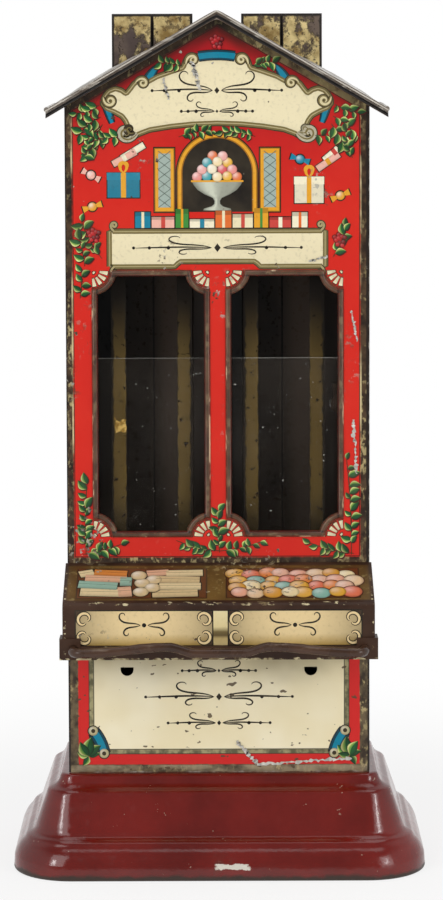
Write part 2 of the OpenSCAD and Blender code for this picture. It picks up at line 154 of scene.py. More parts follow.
def shade(place, colour, rough, metal=0.0, height=None, depth=0.0, specular=0.5, alpha=1.0):
    """Joins colour, roughness, metal and a height of up to depth millimetres to the shader and the output."""
    sockets = {"Base Color": colour, "Roughness": rough, "Metallic": metal}
    sockets.update({"Specular IOR Level": specular, "Alpha": alpha})
    if height is not None:
        sockets["Normal"] = place.add("Bump", {"Height": height, "Distance": depth * MM, "Strength": 1.0})
    place.add("OutputMaterial", {0: place.add("BsdfPrincipled", sockets)})


def grid_quads(rows, cols, wrap_rows=False, wrap_cols=False):
    """Quads between neighbours in a grid of points, counted row by row; a wrapped side joins its start."""
    last = rows - (not wrap_rows), cols - (not wrap_cols)
    r, c = np.meshgrid(np.arange(last[0]), np.arange(last[1]), indexing="ij")
    r2, c2 = (r + 1) % rows, (c + 1) % cols
    return np.stack([r * cols + c, r * cols + c2, r2 * cols + c2, r2 * cols + c], -1).reshape(-1, 4)


def make_piece(name, points, faces, body, slot, finish, smooth=True):
    """A mesh object at the origin from points in millimetres, that rides on a body and has one finish."""
    mesh = bpy.data.meshes.new(name)
    points = np.asarray(points).reshape(-1, 3) * MM
    mesh.from_pydata(points.tolist(), [], [list(map(int, face)) for face in faces])
    mesh.polygons.foreach_set("use_smooth", np.full(len(mesh.polygons), smooth))
    mesh.materials.append(finish)
    mesh.update()
    if smooth:
        mesh.set_sharp_from_angle(angle=SHARP_ANGLE)
    piece = bpy.data.objects.new(name, mesh)
    bpy.context.scene.collection.objects.link(piece)
    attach(piece, body)
    return piece


def repaint(finish, *nodes):
    """Gives CAD nodes a finish in all their material slots."""
    for node in nodes:
        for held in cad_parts[node].material_slots:
            held.material = finish


def ray(angle):
    """Points one unit from the origin at those angles: the cosine and the sine."""
    return np.stack([np.cos(angle), np.sin(angle)], -1)


def ogee(x, z, w, h, n=8):
    """One step of the pressing: hollow for 72 parts in 100 of its width and height, then rolled over."""
    a = np.radians(np.linspace(0, 75, n))
    b = np.radians(np.linspace(15, 90, n))
    hollow = 0.72
    side = hollow * (1 - np.cos(a)) / (1 - np.cos(a[-1]))
    down = hollow * np.sin(a) / np.sin(a[-1])
    over = hollow + (1 - hollow) * np.sin(b)
    under = 1 - (1 - hollow) * np.cos(b)
    return np.stack([x + w * np.append(side, over), z - h * np.append(down, under)], -1)


BASE_H, FLARE, PLATFORM_R, RIM_R, TIN = 32.0, 15.6, 4.5, 1.0, 0.6
UPPER_STEP, LOWER_STEP, LOWER_STEP_Z = (4.5, 5.6), (0.22 * FLARE, 4.0), 15.1
FOOT_Z, FOOT_RUN, FOOT_FALL = 10.4, 0.11 * FLARE, 2.9
SKIN_STEP, SKIN_SPAN = 0.35, 5
CORNER_X, CORNER_Y, CORNER_STEPS = 48.5, 22.0, 15


def softened(line, step, span):
    """A line taken at even steps of its length, each point then averaged with its neighbours over a span."""
    run = np.append(0, np.cumsum(np.linalg.norm(np.diff(line, axis=0), axis=1)))
    at = np.arange(0, run[-1], step)
    even = np.stack([np.interp(at, run, part) for part in line.T], -1)
    bell = np.hanning(2 * span + 3)[1:-1]
    bell = bell / bell.sum()
    padded = np.concatenate([2 * even[0] - even[span:0:-1], even, 2 * even[-1] - even[-2:-2 - span:-1]])
    return np.stack([np.convolve(part, bell, "valid") for part in padded.T], -1)


def plinth_profile():
    """Distance from the corner centres and height: two ogee steps, a foot, a skirt and a rolled rim."""
    t = np.linspace(0, 1, 12)
    foot = np.stack([PLATFORM_R + 0.77 * FLARE + FOOT_RUN * (t + np.sin(np.pi / 2 * t)),
                     FOOT_Z - FOOT_FALL * (t + 1 - np.cos(np.pi / 2 * t))], -1)
    a = np.radians(np.linspace(0, -250, 16))
    rim = [PLATFORM_R + FLARE - RIM_R, RIM_R] + RIM_R * ray(a)
    edge = np.array([[0.3, BASE_H], [PLATFORM_R - 0.6, BASE_H], [PLATFORM_R - 0.25, BASE_H - 0.12]])
    upper = ogee(PLATFORM_R, BASE_H - TIN, *UPPER_STEP)
    lower = ogee(PLATFORM_R + 0.53 * FLARE, LOWER_STEP_Z, *LOWER_STEP)
    skin = softened(np.concatenate([edge, upper, lower, foot]), SKIN_STEP, SKIN_SPAN)
    return np.concatenate([skin, rim, skin[::-1] - TIN])


def plinth_mesh():
    """Carries the profile round the platform: a station is a corner centre plus the distance at its angle."""
    turn = np.radians(np.linspace(0, 90, CORNER_STEPS))
    angle = np.concatenate([turn + k * np.pi / 2 for k in range(4)])[:, None]
    side_x = np.repeat([1, -1, -1, 1], CORNER_STEPS)[:, None] * CORNER_X
    side_y = np.repeat([1, 1, -1, -1], CORNER_STEPS)[:, None] * CORNER_Y
    away, height = plinth_profile().T
    away = np.maximum(away, 0.05)
    points = np.stack([side_x + np.cos(angle) * away,
                       side_y + np.sin(angle) * away,
                       np.broadcast_to(height, (len(angle), len(height)))], -1)
    rows, cols = points.shape[:2]
    quads = grid_quads(rows, cols, wrap_rows=True)[:, ::-1]
    top = np.arange(rows) * cols
    return points, [*quads, top, (top + cols - 1)[::-1]]


KNOCK_X, KNOCK_Y, KNOCK_Z = 4.4, -39.0, 4.7
enamel, place = new_finish("dark_red_enamel")
x, y, z = axes(place)
cloud = grain(place, 45, 4)
fine = grain(place, 900, 2)
chips = (grain(place, 260, 2) * 0.6 + grain(place, 1100, 2) * 0.5).ease(0.745, 0.76)
knock = (abs(x - KNOCK_X) * 0.2).most(abs(z - KNOCK_Z) * 1.05).most(y - KNOCK_Y)
knock = (knock + stray(place, 420, 4, 2.0)).ease(0.95, 0.75)
rust = ((2.9 - z) * 0.42 + stray(place, 220, 4, 1.2)).ease(0.15, 0.75)
dull = grain(place, 80, 3).ease(0.66, 0.76) * 0.4
scuff = grain(place, 60, 5, (0.25, 0.25, 1.4)).ease(0.6, 0.74) * 0.22
pits = grain(place, 380, 4).ease(0.54, 0.7) * 0.1
colour = coats(
    cloud.ease(0.3, 0.75).mix("5E100A", "771912"),
    (scuff, "7A3A32"), (dull, "4E3428"), (chips, "A98E7C"), (rust, "2E1D12"), (knock, "D8D2C6"))
gloss = 0.1 + cloud * 0.08 + rust * 0.35 + scuff.most(dull) * 0.3 + pits
shade(place, colour, gloss, 0.0, fine * 0.5 + cloud * 6, 0.06)

plinth = make_piece("plinth_pressing", *plinth_mesh(), "casing", "red_enamel", enamel)
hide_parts("base_plinth")

# Bottom plate: a flat sheet sprung into the rolled rim, bare tin that has gone grey and spotted underneath.
# The hinge wire of the back door is bare metal of the same grey.

old_tin, place = new_finish("old_grey_tin")
cloud = grain(place, 70, 5)
spots = grain(place, 420, 3).ease(0.6, 0.72)
streak = grain(place, 200, 4, (1, 0.08, 1))
colour = coats(cloud.ease(0.3, 0.7).mix("8C8880", "B9B6AE"), (spots * 0.6, "5A4A38"))
shade(place, colour, 0.34 + cloud * 0.25 + spots * 0.2, 0.75 - spots * 0.5, streak + cloud, 0.05)
repaint(old_tin, "base_bottom", "hinge_wire")

# Body sheets: front, lower front and two sides, cut from lithographed tinplate and soldered at the corners.
# The print is red or cream inside a mottled brown and gold border, chipped along the edges.
# The inside is bare tin, painted nearly black as painted shade, with painted light on the right half of each
# magazine.

BODY_HALF, FRONT_Y, FRONT_FOOT, EAVE_Z, APEX_Z = 50.0, -23.5, 101.6, 255.0, 284.0
SLOPE, SLOPE_COSINE = 0.58, 0.865
WINDOW_X = 22.0


def chipped(place):
    """Where the print is gone: flecks that gather in a few clouds, single specks, and long thin scratches."""
    flecks = grain(place, 34, 2).ease(0.55, 0.68) * grain(place, 620, 3).ease(0.57, 0.64)
    specks = grain(place, 330, 2).ease(0.735, 0.76)
    scratches = grain(place, 130, 2, (2.2, 1, 0.1)).ease(0.73, 0.76) * grain(place, 60, 2).ease(0.5, 0.6)
    return flecks.most(specks).most(scratches)


def bare_spots(place):
    """Colour of the tin that shows in a chip, from pale grey to rust."""
    return grain(place, 240, 3).ease(0.42, 0.62).mix("4B3A2A", "A9A498")


def mottled_border(place, dark="26180E", light="4E3B28"):
    """Brown border print rubbed through to gold in flecks and small clouds."""
    brown = grain(place, 260, 4).ease(0.35, 0.65).mix(dark, light)
    flecks = grain(place, 700, 4, (1, 1, 0.6)).ease(0.52, 0.66) * grain(place, 70, 3).ease(0.35, 0.65)
    return (flecks * 0.85).mix(brown, "BBA978")


def painted_inside_shade_and_light(place):
    """Inside of the case: tin painted nearly black as painted shade, with painted light over the right half
    of each magazine and the deepest painted shade at its far left.
    """
    x = axes(place)[0]
    over = x - place.sum("SIGN", x, 0.0) * WINDOW_X
    dark = grain(place, 90, 3).ease(0.3, 0.7).mix("19120D", "2A2018")
    dark = over.ease(-3.0, 6.0).mix(dark, "5A4B40")
    return (over.ease(-11.0, -14.0) * 0.7).mix(dark, "0B0A0A")


def line_at(value, spot, half):
    """1 on a line that is 2 half wide round that value: a printed line, or a line of painted shadow or
    highlight.
    """
    return abs(value - spot).ease(half + 0.12, half - 0.12)


def edge_wear(place, near):
    """Where rubbing has taken the print off an edge: near is in millimetres and above 0 at the edge."""
    return (near * 0.5 + grain(place, 300, 4)).ease(0.72, 0.9) * 0.8


litho, place = new_finish("red_lithograph")
x, y, z = axes(place)
side = BODY_HALF - abs(x + 0.35)
roof = (APEX_Z - abs(x) * SLOPE - z) * SLOPE_COSINE
foot = z - FRONT_FOOT
edge = side.least(roof - 0.8).least(foot)
wobble = stray(place, 500, 2, 0.5)
left_shadow = roof.ease(6.0, 3.6) * x.ease(18, -6) * 0.5
shadow = left_shadow.most(roof.ease(8.0, 4.0) * abs(x - 2.0).ease(15, 3) * 0.75)
pale = line_at(side, 2.55, 0.28) * grain(place, 90, 4, (1, 1, 0.4)).ease(0.46, 0.58) * 0.85
rubbed = chipped(place).most(edge_wear(place, (1.2 - abs(foot)).most(0.4 - side)))
inside = y.ease(FRONT_Y + 0.2, FRONT_Y + 0.3)
# Painted shade and light on the gable: the red darkens towards the roof's edge as painted shadow, and the
# band under the right slope is lightened in patches as painted light.
colour = coats(
    z.ease(215, 268).mix("CF2418", "AB121C"),
    (grain(place, 55, 3).ease(0.35, 0.7) * 0.35, "D93220"), (roof.ease(11.0, 3.0) * 0.45, "4A0C0C"),
    ((edge + wobble).ease(2.9, 2.5), mottled_border(place)), (shadow, "1C150D"),
    (roof.ease(4.0, 3.4) * x.ease(0, 20) * grain(place, 160, 4).ease(0.35, 0.6) * 0.6, "93835A"),
    (pale, "D2C294"), (line_at(edge, 2.95, 0.14), "2A1A12"), ((side + wobble).ease(0.95, 0.6), "1E1610"),
    (rubbed, bare_spots(place)), (inside, painted_inside_shade_and_light(place)))
gloss = 0.32 + rubbed * 0.2 + inside * 0.3
shade(place, colour, gloss, 0.0, grain(place, 90, 3) * 3 - rubbed, 0.05, specular=0.22)
repaint(litho, "front_panel")

cream_print, place = new_finish("cream_lithograph")
x, y, z = axes(place)
side = BODY_HALF - abs(x)
edge = side.least(z - (BASE_H - TIN))
wobble = stray(place, 500, 2, 0.5)
cream = grain(place, 28, 3).ease(0.3, 0.7).mix("ECDFB8", "F8F0D4")
# Painted shadow of the counter: the cream darkens towards the top of the panel.
cream = ((z - 58) * 0.055 + stray(place, 35, 3, 1.2)).ease(0.1, 1.1).mix(cream, "A79B76")
frame_print = grain(place, 300, 3).ease(0.4, 0.65).mix("5E5A40", "A39A72")
worn_foot = (z + wobble).ease(34.6, 34.2) * grain(place, 180, 4, (0.4, 1, 1)).ease(0.35, 0.6) * 0.6
nicks = grain(place, 400, 2, (0.7, 1, 1)).ease(0.685, 0.71) * 0.9
rubbed = edge_wear(place, (32.8 - z).most(0.4 - side))
inside = y.ease(FRONT_Y + 0.2, FRONT_Y + 0.3)
colour = coats(
    edge.ease(8.15, 8.35).mix(frame_print, cream),
    (line_at(edge, 8.35, 0.15), "3A3324"), (edge.ease(6.9, 6.7), "CE1F1C"),
    (line_at(edge, 6.8, 0.13), "3A2A20"),
    ((edge + wobble).ease(3.4, 3.1), mottled_border(place, "33271A", "6A5B42")), (worn_foot, "B3A283"),
    ((side + wobble).ease(0.8, 0.5), "1E1610"), (nicks, "52402C"), (rubbed, bare_spots(place)),
    (inside, painted_inside_shade_and_light(place)))
shade(place, colour, 0.36 + rubbed * 0.2, 0.0, grain(place, 90, 3) * 3 - rubbed, 0.05, specular=0.3)
repaint(cream_print, "lower_front_panel")

side_print, place = new_finish("side_lithograph")
x, y, z = axes(place)
edge = (y - FRONT_Y).least(21.0 - y).least(z - BASE_H).least(EAVE_Z - z)
rubbed = chipped(place).most(edge_wear(place, 1.4 - edge))
inside = 1 - abs(x).ease(BODY_HALF - 0.4, BODY_HALF - 0.25).most(y.ease(21.6, 22.0))
colour = coats(
    grain(place, 40, 4).ease(0.3, 0.7).mix("A81C22", "C62B29"),
    (line_at(edge, 6.0, 0.35), "B59A55"),
    ((edge + stray(place, 500, 2, 0.5)).ease(3.2, 2.8), mottled_border(place)),
    (rubbed, bare_spots(place)), (inside, painted_inside_shade_and_light(place)))
gloss = 0.34 + rubbed * 0.2 + inside * 0.3
shade(place, colour, gloss, 0.0, grain(place, 80, 3) * 3 - rubbed, 0.06, specular=0.3)
repaint(side_print, "left_side_panel", "right_side_panel")

# Window beads: a half-round pressed in the tin round each window, printed brown and rubbed on its crown.
# The outline is a rectangle with a round notch in each corner, so every line of the bead is its own outline.

WINDOW_Z, WINDOW_HALF, WINDOW_TALL = 155.35, 17.5, 42.35
BEAD_W, BEAD_H, BEAD_SINK, NOTCH_R = 2.0, 1.03, 0.02, 8.3


def notched_outline(grow, steps=12):
    """Points round a window outline grown by that much, with an arc about the bead's corner in each notch."""
    rise, run = np.broadcast_arrays(np.linspace(0, 1, steps)[:, None], np.asarray(grow)[None, :])
    radius = NOTCH_R - run
    lean = np.arcsin((BEAD_W - run) / radius)
    turn = np.radians(270) - lean + rise * (2 * lean - np.pi / 2)
    arc_x, arc_z = radius * np.cos(turn), radius * np.sin(turn)
    loops = []
    for sx, sz, way in ((1, 1, 1), (-1, 1, -1), (-1, -1, 1), (1, -1, -1)):
        across = sx * (WINDOW_HALF + BEAD_W + arc_x[::way])
        upward = sz * (WINDOW_TALL + BEAD_W + arc_z[::way])
        loops.append(np.stack([across, upward], -1))
    return np.concatenate(loops)


def bead_mesh(side):
    """Half an ellipse carried along the outlines from the inner to the outer edge, closed at its back."""
    q = np.cos(np.radians(np.linspace(180, 0, 11)))
    line = notched_outline(BEAD_W / 2 * (1 + q))
    height = np.broadcast_to(BEAD_H * np.sqrt(1 - q * q), line.shape[:2])
    x, z = side * WINDOW_X + line[..., 0], WINDOW_Z + line[..., 1]
    points = np.stack([x, FRONT_Y + BEAD_SINK - height, z], -1)
    return points, grid_quads(*points.shape[:2], wrap_rows=True, wrap_cols=True)


bead_brown, place = new_finish("rubbed_brown_bead")
worn = grain(place, 300, 4).ease(0.5, 0.68)
x, y, z = axes(place)
crown = y.ease(-24.2, -24.5)
across = (abs(abs(x) - WINDOW_X) - WINDOW_HALF).most(abs(z - WINDOW_Z) - WINDOW_TALL)
inner_edge = across.ease(0.6, 0.3) * across.ease(-0.3, 0.0)
flakes = across.ease(1.45, 1.65) * grain(place, 150, 4, (1, 1, 0.4)).ease(0.57, 0.63)
colour = coats(
    grain(place, 120, 3).ease(0.35, 0.7).mix("453022", "624A36"),
    (worn * 0.25 + crown * worn * 0.25, "8C7A5C"), (inner_edge * 0.8, "1C130C"), (flakes, "D3C6A2"))
shade(place, colour, 0.3 + worn * 0.15, 0.1, worn, 0.04, specular=0.35)
for side, name in ((-1, "left_window_bead"), (1, "right_window_bead")):
    make_piece(name, *bead_mesh(side), "casing", "brown_print", bead_brown)

# Printed ornament: layers of opaque ink on the sheets, each motif a thin patch with its own colours.
# Chips follow the object's own coordinates, so they go through all the layers of ink together.

INK_STEP, INK_THICK, LIFTS, LIFT = 0.018, 0.025, 17, 0.055
FRONT_SHEET = ((0, FRONT_Y, 0), (1, 0, 0), (0, 0, 1))
rng = np.random.default_rng(7)


def flat_ink(*codes):
    """Printed colours as rows of linear red, green and blue."""
    return np.array([ink(code)[:3] for code in codes])


def patch(grid, colour, layer):
    """A motif: points across and up a sheet, one colour or one for each point, and its layer of ink.

    Within its layer every motif has a small lift of its own, so that no two lie in one plane.
    """
    grid = np.asarray(grid, float)
    grid = grid.reshape(-1, *grid.shape[-3:])
    colour = np.broadcast_to(colour, grid.shape[:3] + (3,)).copy()
    a = grid[:, 1:, :-1] - grid[:, :-1, :-1]
    b = grid[:, :-1, 1:] - grid[:, :-1, :-1]
    back = (b[..., 0] * a[..., 1] - b[..., 1] * a[..., 0]).sum((1, 2)) < 0
    grid[back] = grid[back][:, :, ::-1]
    colour[back] = colour[back][:, :, ::-1]
    shuffled = (np.arange(len(grid)) * 5 + int(np.abs(grid).sum())) % LIFTS
    return grid, colour, layer + LIFT * shuffled


def print_piece(name, patches, slot="printed_cream", sheet=FRONT_SHEET, body="casing"):
    """Puts motifs on a flat sheet, given by its origin and two directions, as one mesh with ink colours."""
    origin, across, upward = (np.array(v, float) for v in sheet)
    out = np.cross(across, upward)
    points, quads, colours, start = [], [], [], 0
    for grid, colour, layer in patches:
        lift = INK_STEP * (layer + 1)[:, None, None, None]
        spots = origin + grid[..., :1] * across + grid[..., 1:] * upward + out * lift
        count, rows, cols = grid.shape[:3]
        first = start + np.arange(count)[:, None, None] * rows * cols
        quads.append((first + grid_quads(rows, cols)).reshape(-1, 4))
        points.append(spots.reshape(-1, 3))
        colours.append(colour.reshape(-1, 3))
        start += count * rows * cols
    points, quads = np.concatenate(points), np.concatenate(quads)
    piece = make_piece(name, points, quads, body, slot, print_ink, smooth=False)
    tints = np.concatenate(colours)
    tints = np.concatenate([tints, np.ones((len(tints), 1))], 1)
    layer = piece.data.color_attributes.new("ink", "FLOAT_COLOR", "POINT")
    layer.data.foreach_set("color", tints.astype(np.float32).ravel())
    thick = piece.modifiers.new("ink_film", "SOLIDIFY")
    thick.thickness = INK_THICK * MM
    thick.offset = -1.0


def turned(points, angle):
    """Points turned about the origin by an angle in radians, one angle for each row of points."""
    c, s = np.cos(angle), np.sin(angle)
    x, z = points[..., 0], points[..., 1]
    return np.stack([x * c - z * s, x * s + z * c], -1)


def box_patch(x0, x1, z0, z1, colour, layer):
    """A plain rectangle of ink."""
    return patch(np.stack(np.meshgrid([x0, x1], [z0, z1]), -1), colour, layer)


def banded_box(spot, half, tall, angle, colour, shades, layer, n=5):
    """A turned rectangle round a spot, given half its width and height, with shades from foot to top."""
    rows = np.linspace(-tall, tall, len(shades))
    flat = np.stack(np.meshgrid(np.linspace(-half, half, n), rows), -1)
    return patch(turned(flat, angle) + spot, colour * np.array(shades)[:, None, None], layer)


def stroke(path, width, colour, layer):
    """A pen line: each point of the path moved to both sides by half the width there."""
    way = np.gradient(path, axis=0)
    way = way / np.maximum(np.linalg.norm(way, axis=1, keepdims=True), 1e-9)
    side = np.stack([-way[:, 1], way[:, 0]], -1) * np.broadcast_to(width, len(path))[:, None] / 2
    return patch(np.stack([path - side, path + side], 1), colour, layer)


def strokes(path, *pens):
    """Pen lines along one path, each with its own width, colour and layer."""
    return [stroke(path, *one) for one in pens]


def pen(start, heading, bends, length, n=40):
    """Path of a pen from start: its heading in degrees turns by the bends, a polynomial in the share run."""
    t = np.linspace(0, 1, n)
    angle = np.radians(heading + sum(b * t ** (k + 1) for k, b in enumerate(bends)))
    steps = ray(angle) * length / (n - 1)
    return np.asarray(start, float) + np.concatenate([[[0, 0]], np.cumsum(steps[:-1], 0)])


def taper(n, thick, ends=0.25):
    """Width of a pen line that swells to thick in its middle and thins at its ends."""
    t = np.linspace(0, 1, n)
    return thick * (ends + (1 - ends) * np.sin(np.pi * t) ** 0.7)


def mirrored(path):
    """A path and its mirror image across the middle."""
    return [path, path * [-1, 1]]


def disc(spots, radii, colours, layer, light=0.45, flat=1.0, n=7):
    """Round motifs: a square grid pressed into a circle, lighter up to the left and dark at the rim."""
    u, v = np.meshgrid(np.linspace(-1, 1, n), np.linspace(-1, 1, n))
    round_x, round_z = u * np.sqrt(1 - v * v / 2), v * np.sqrt(1 - u * u / 2)
    spots = np.asarray(spots, float).reshape(-1, 2)
    radii = np.broadcast_to(radii, len(spots))[:, None, None, None]
    grid = spots[:, None, None] + radii * np.stack([round_x, round_z * flat], -1)
    glow = np.exp(-((round_x + 0.35) ** 2 + (round_z - 0.4) ** 2) * 3.0)[..., None] * light
    rim = (np.hypot(round_x, round_z) > 0.9)[..., None] * 0.45
    colours = np.broadcast_to(colours, (len(spots), 3))[:, None, None]
    return patch(grid, (colours + (1 - colours) * glow) * (1 - rim), layer)


LEAF_HALF, LEAF_BEND, LEAF_SCALE = 0.32, 0.10, 0.92
LEAF_ACROSS = np.array([-1, -0.8, -0.1, 0.0, 0.1, 0.5, 0.82, 1])
LEAF_TINTS = flat_ink("08160E", "103C22", "18542A", "0A2214", "2B6D31", "7F9C48", "CFCB8A", "142E18")
STEM_GREEN, LEAF_SHADOW = flat_ink("16301A", "43080B")


def off_windows(grid):
    """True for motifs with no point over a window, which is a rectangle less a circle at each corner."""
    x = np.abs(np.abs(grid[..., 0]) - WINDOW_X)
    z = np.abs(grid[..., 1] - WINDOW_Z)
    corner = np.hypot(x - WINDOW_HALF - BEAD_W, z - WINDOW_TALL - BEAD_W)
    over = (x < WINDOW_HALF + BEAD_W) & (z < WINDOW_TALL + BEAD_W) & (corner > NOTCH_R - BEAD_W)
    return ~over.any((1, 2))


def leaves(spots, angles, lengths, layer):
    """Pointed ovals: a half width that is a sine of the length, a bent spine, one dark and one light half."""
    t = np.linspace(0, 1, 9)[:, None]
    half = np.sin(np.pi * t ** 0.8) * LEAF_HALF
    rise = half * LEAF_ACROSS + LEAF_BEND * np.sin(np.pi * t)
    flat = np.stack([t + 0 * rise, rise], -1)
    grid = turned(flat * lengths[:, None, None, None], angles[:, None, None]) + spots[:, None, None]
    tint = LEAF_TINTS * (0.72 + 0.5 * np.sin(np.pi * t))[..., None]
    warm = rng.uniform(0.55, 1.25, len(spots))[:, None, None, None]
    clear = off_windows(grid)
    return patch(grid[clear], np.clip(tint * warm, 0, 1)[clear], layer)


def spray(start, heading, bends, length, count, size, layer):
    """A sprig: a thin bent stem, leaves to its left and right in turn, one at its tip, and their shadow."""
    path = pen(start, heading, bends, length)
    way = np.gradient(path, axis=0)
    at = np.linspace(5, len(path) - 1, count).astype(int)
    sides = np.where(np.arange(count) % 2, 1, -1) * np.append(np.full(count - 1, 0.95), 0.1)
    angles = np.arctan2(way[at, 1], way[at, 0]) + sides + rng.uniform(-0.6, 0.6, count)
    stem = stroke(path, taper(len(path), 0.3, 0.5), STEM_GREEN, layer)
    grid, tints, lift = leaves(path[at], angles, size * rng.uniform(0.65, 1.15, count), layer + 1)
    shadow = (grid + [0.22, -0.32], 0 * tints + LEAF_SHADOW, lift - 0.03)
    return [stem, shadow, (grid, tints, lift)]


def berries(spot, layer):
    """A bunch of eleven red berries, each further out by the root of its number and a golden turn on."""
    k = np.arange(11)
    spots = spot + 0.62 * np.sqrt(k)[:, None] * ray(2.4 * k) * [1, 1.1]
    tints = flat_ink("9A0E18", "B81A22", "6E0A14")[k % 3]
    return [disc(spots, 0.82, tints * 0.3, layer, 0.0), disc(spots, 0.68, tints, layer + 1, 0.07)]


print_ink, place = new_finish("printed_ornament")
pigment = place.add("Attribute", {}, "Color", attribute_name="ink")
fade = grain(place, 60, 4).ease(0.35, 0.75) * 0.06
rubbed = chipped(place)
colour = coats(
    fade.mix(pigment, "C9B48C"),
    (grain(place, 800, 2).ease(0.5, 0.8) * 0.16, "3A2A1C"), (rubbed, bare_spots(place)))
shade(place, colour, 0.34 + rubbed * 0.2, 0.0, grain(place, 90, 3) * 3 - rubbed, 0.04, specular=0.2)

BLACK, CREAM, PALE, OLIVE, DARK_OLIVE = flat_ink("17120D", "EBDFB9", "F1E8CB", "75683F", "3A3120")
TEAL, DEEP_TEAL, GOLD, DEEP_GOLD = flat_ink("047F9B", "063E50", "E2A02A", "9A6414")
PINK, ROSE, LEAF_GREEN, ORANGE = flat_ink("EBB3A2", "C8463E", "3F8A3C", "DF6A2A")

# Scroll shield of the gable: a cream field with a raised tab and lobed ends in an olive outline.
# Its ends roll over into small scrolls, with bits of blue ribbon between them.

SHIELD_TOP = np.array([
    [0, 269.5], [8.2, 269.7], [9.7, 269.1], [10.5, 267.5], [10.7, 266.0], [14, 265.0], [19.5, 263.1],
    [22.4, 261.5], [24, 260.9], [25.4, 261.5], [26.9, 261], [28.3, 259.1], [29.7, 257.4],
    [31.2, 258.6], [33.2, 259.2], [35.3, 258.4], [36.8, 256.6], [37.3, 255.0]])
SHIELD_FOOT = np.array([
    [0, 248], [8, 247.7], [15, 247], [22, 245.9], [25.5, 244.6], [27.6, 243.4],
    [28.8, 245.4], [29.4, 248.2], [31, 250.4], [33.6, 251.8], [36.2, 252.8], [37.3, 254.4]])


def eased_line(marks, at):
    """Height of a line through marks at those distances, its corners rounded over about a millimetre."""
    run = np.linspace(0, marks[-1, 0], 400)
    bell = np.hanning(15) / np.hanning(15).sum()
    height = np.pad(np.interp(run, *marks.T), 7, mode="edge")
    return np.interp(at, run, np.convolve(height, bell, "valid"))


x = np.linspace(-1, 1, 161) * SHIELD_TOP[-1, 0]
upper = np.stack([x, eased_line(SHIELD_TOP, np.abs(x))], -1)
lower = np.stack([x, eased_line(SHIELD_FOOT, np.abs(x))], -1)
rise = np.linspace(0, 1, 9)[:, None, None]
field = lower + (upper - lower) * rise
tone = 0.84 + 0.16 * np.minimum(1, np.minimum(rise, 1 - rise) * 7)
around = np.concatenate([upper, lower[::-1], upper[:1]])
STONE, DARK_STONE, DEEP_CREAM, THREAD = flat_ink("B5AE96", "8E876E", "D9CCA0", "B3A67C")
shield = strokes(around, (2.2, DARK_OLIVE, 0), (1.5, OLIVE, 3), (0.35, THREAD, 4))
shield.append(patch(field, CREAM * tone, 2))
for spot, heading, bends, length, thick, tint, core, share in (
        ((10.2, 267.2), 95, (60, 420), 9.5, 1.7, OLIVE, DEEP_CREAM, 0.5),
        ((26.7, 261.3), 125, (110, 350), 9.0, 1.6, OLIVE, DEEP_CREAM, 0.5),
        ((37.3, 256.6), -95, (-110, -330), 9.5, 1.7, OLIVE, DEEP_CREAM, 0.5),
        ((26.2, 244.6), -48, (60, 400), 13.0, 2.4, STONE, OLIVE, 0.25),
        ((27.0, 245.0), -20, (40, 330), 6.0, 1.6, DARK_STONE, OLIVE, 0.25)):
    for path in mirrored(pen(spot, heading, bends, length, 48)):
        shield += strokes(path, (taper(48, thick + 0.7, 0.5), DARK_OLIVE, 7),
                          (taper(48, thick, 0.4), tint, 8))
        shield.append(stroke(path + [0.1, -0.1], taper(48, thick * share, 0.2), core, 9))
for path, wide, ends, layer in (
        (pen((-6.0, 269.7), 9, (-18,), 12.0), 3.0, (1, 1), 4),
        (pen((18.2, 267.2), -32, (-40,), 6.6), 3.7, (0.2, 1), 1),
        (pen((36.0, 254.2), -100, (-10,), 6.4), 3.2, (1, 0.5), 1)):
    for one in mirrored(path) if path[0, 0] > 0 else [path]:
        swell = wide * np.linspace(*ends, len(one))
        shield += strokes(one, (swell + 0.6, BLACK, layer), (swell, DEEP_TEAL, layer + 1),
                          (swell * 0.62, TEAL, layer + 2))


def flourish(spot, wide, layer, heavy=0.55, tall=1.0):
    """A pen ornament: a lozenge with a long and a short curl to each side, flattened by tall."""
    unit = wide / 22
    lozenge = np.array([[[-0.9, 0], [0, -1.2]], [[0, 1.2], [0.9, 0]]]) * unit + spot
    out = [patch(lozenge, BLACK, layer)]
    for heading, bends, length in (
            (38, (-150, 60, 330), 0.86), (-30, (150, -40, -360), 0.62), (8, (-30, 20), 0.98)):
        path = pen((1.6 * unit, 0), heading, bends, length * wide, 60) * [1, tall]
        for one in mirrored(path):
            out.append(stroke(one + np.asarray(spot), taper(60, heavy), BLACK, layer))
    for far in (0.62, 0.86, 1.06):
        pair = np.array([[far * wide, 0], [-far * wide, 0]]) + spot
        out.append(disc(pair, 0.7 - 0.2 * far, BLACK, layer, 0.0))
    return out


shield += flourish((0, 258.6), 20.0, 5, 0.55, 0.9) + flourish((0, 251.8), 11.0, 5, 0.4, 0.8)
print_piece("gable_shield_print", shield)

# Niche under the shield: a black arch in a gold frame between two lattice panels, printed on the red.
# In it stands a footed bowl with a heap of sweets.

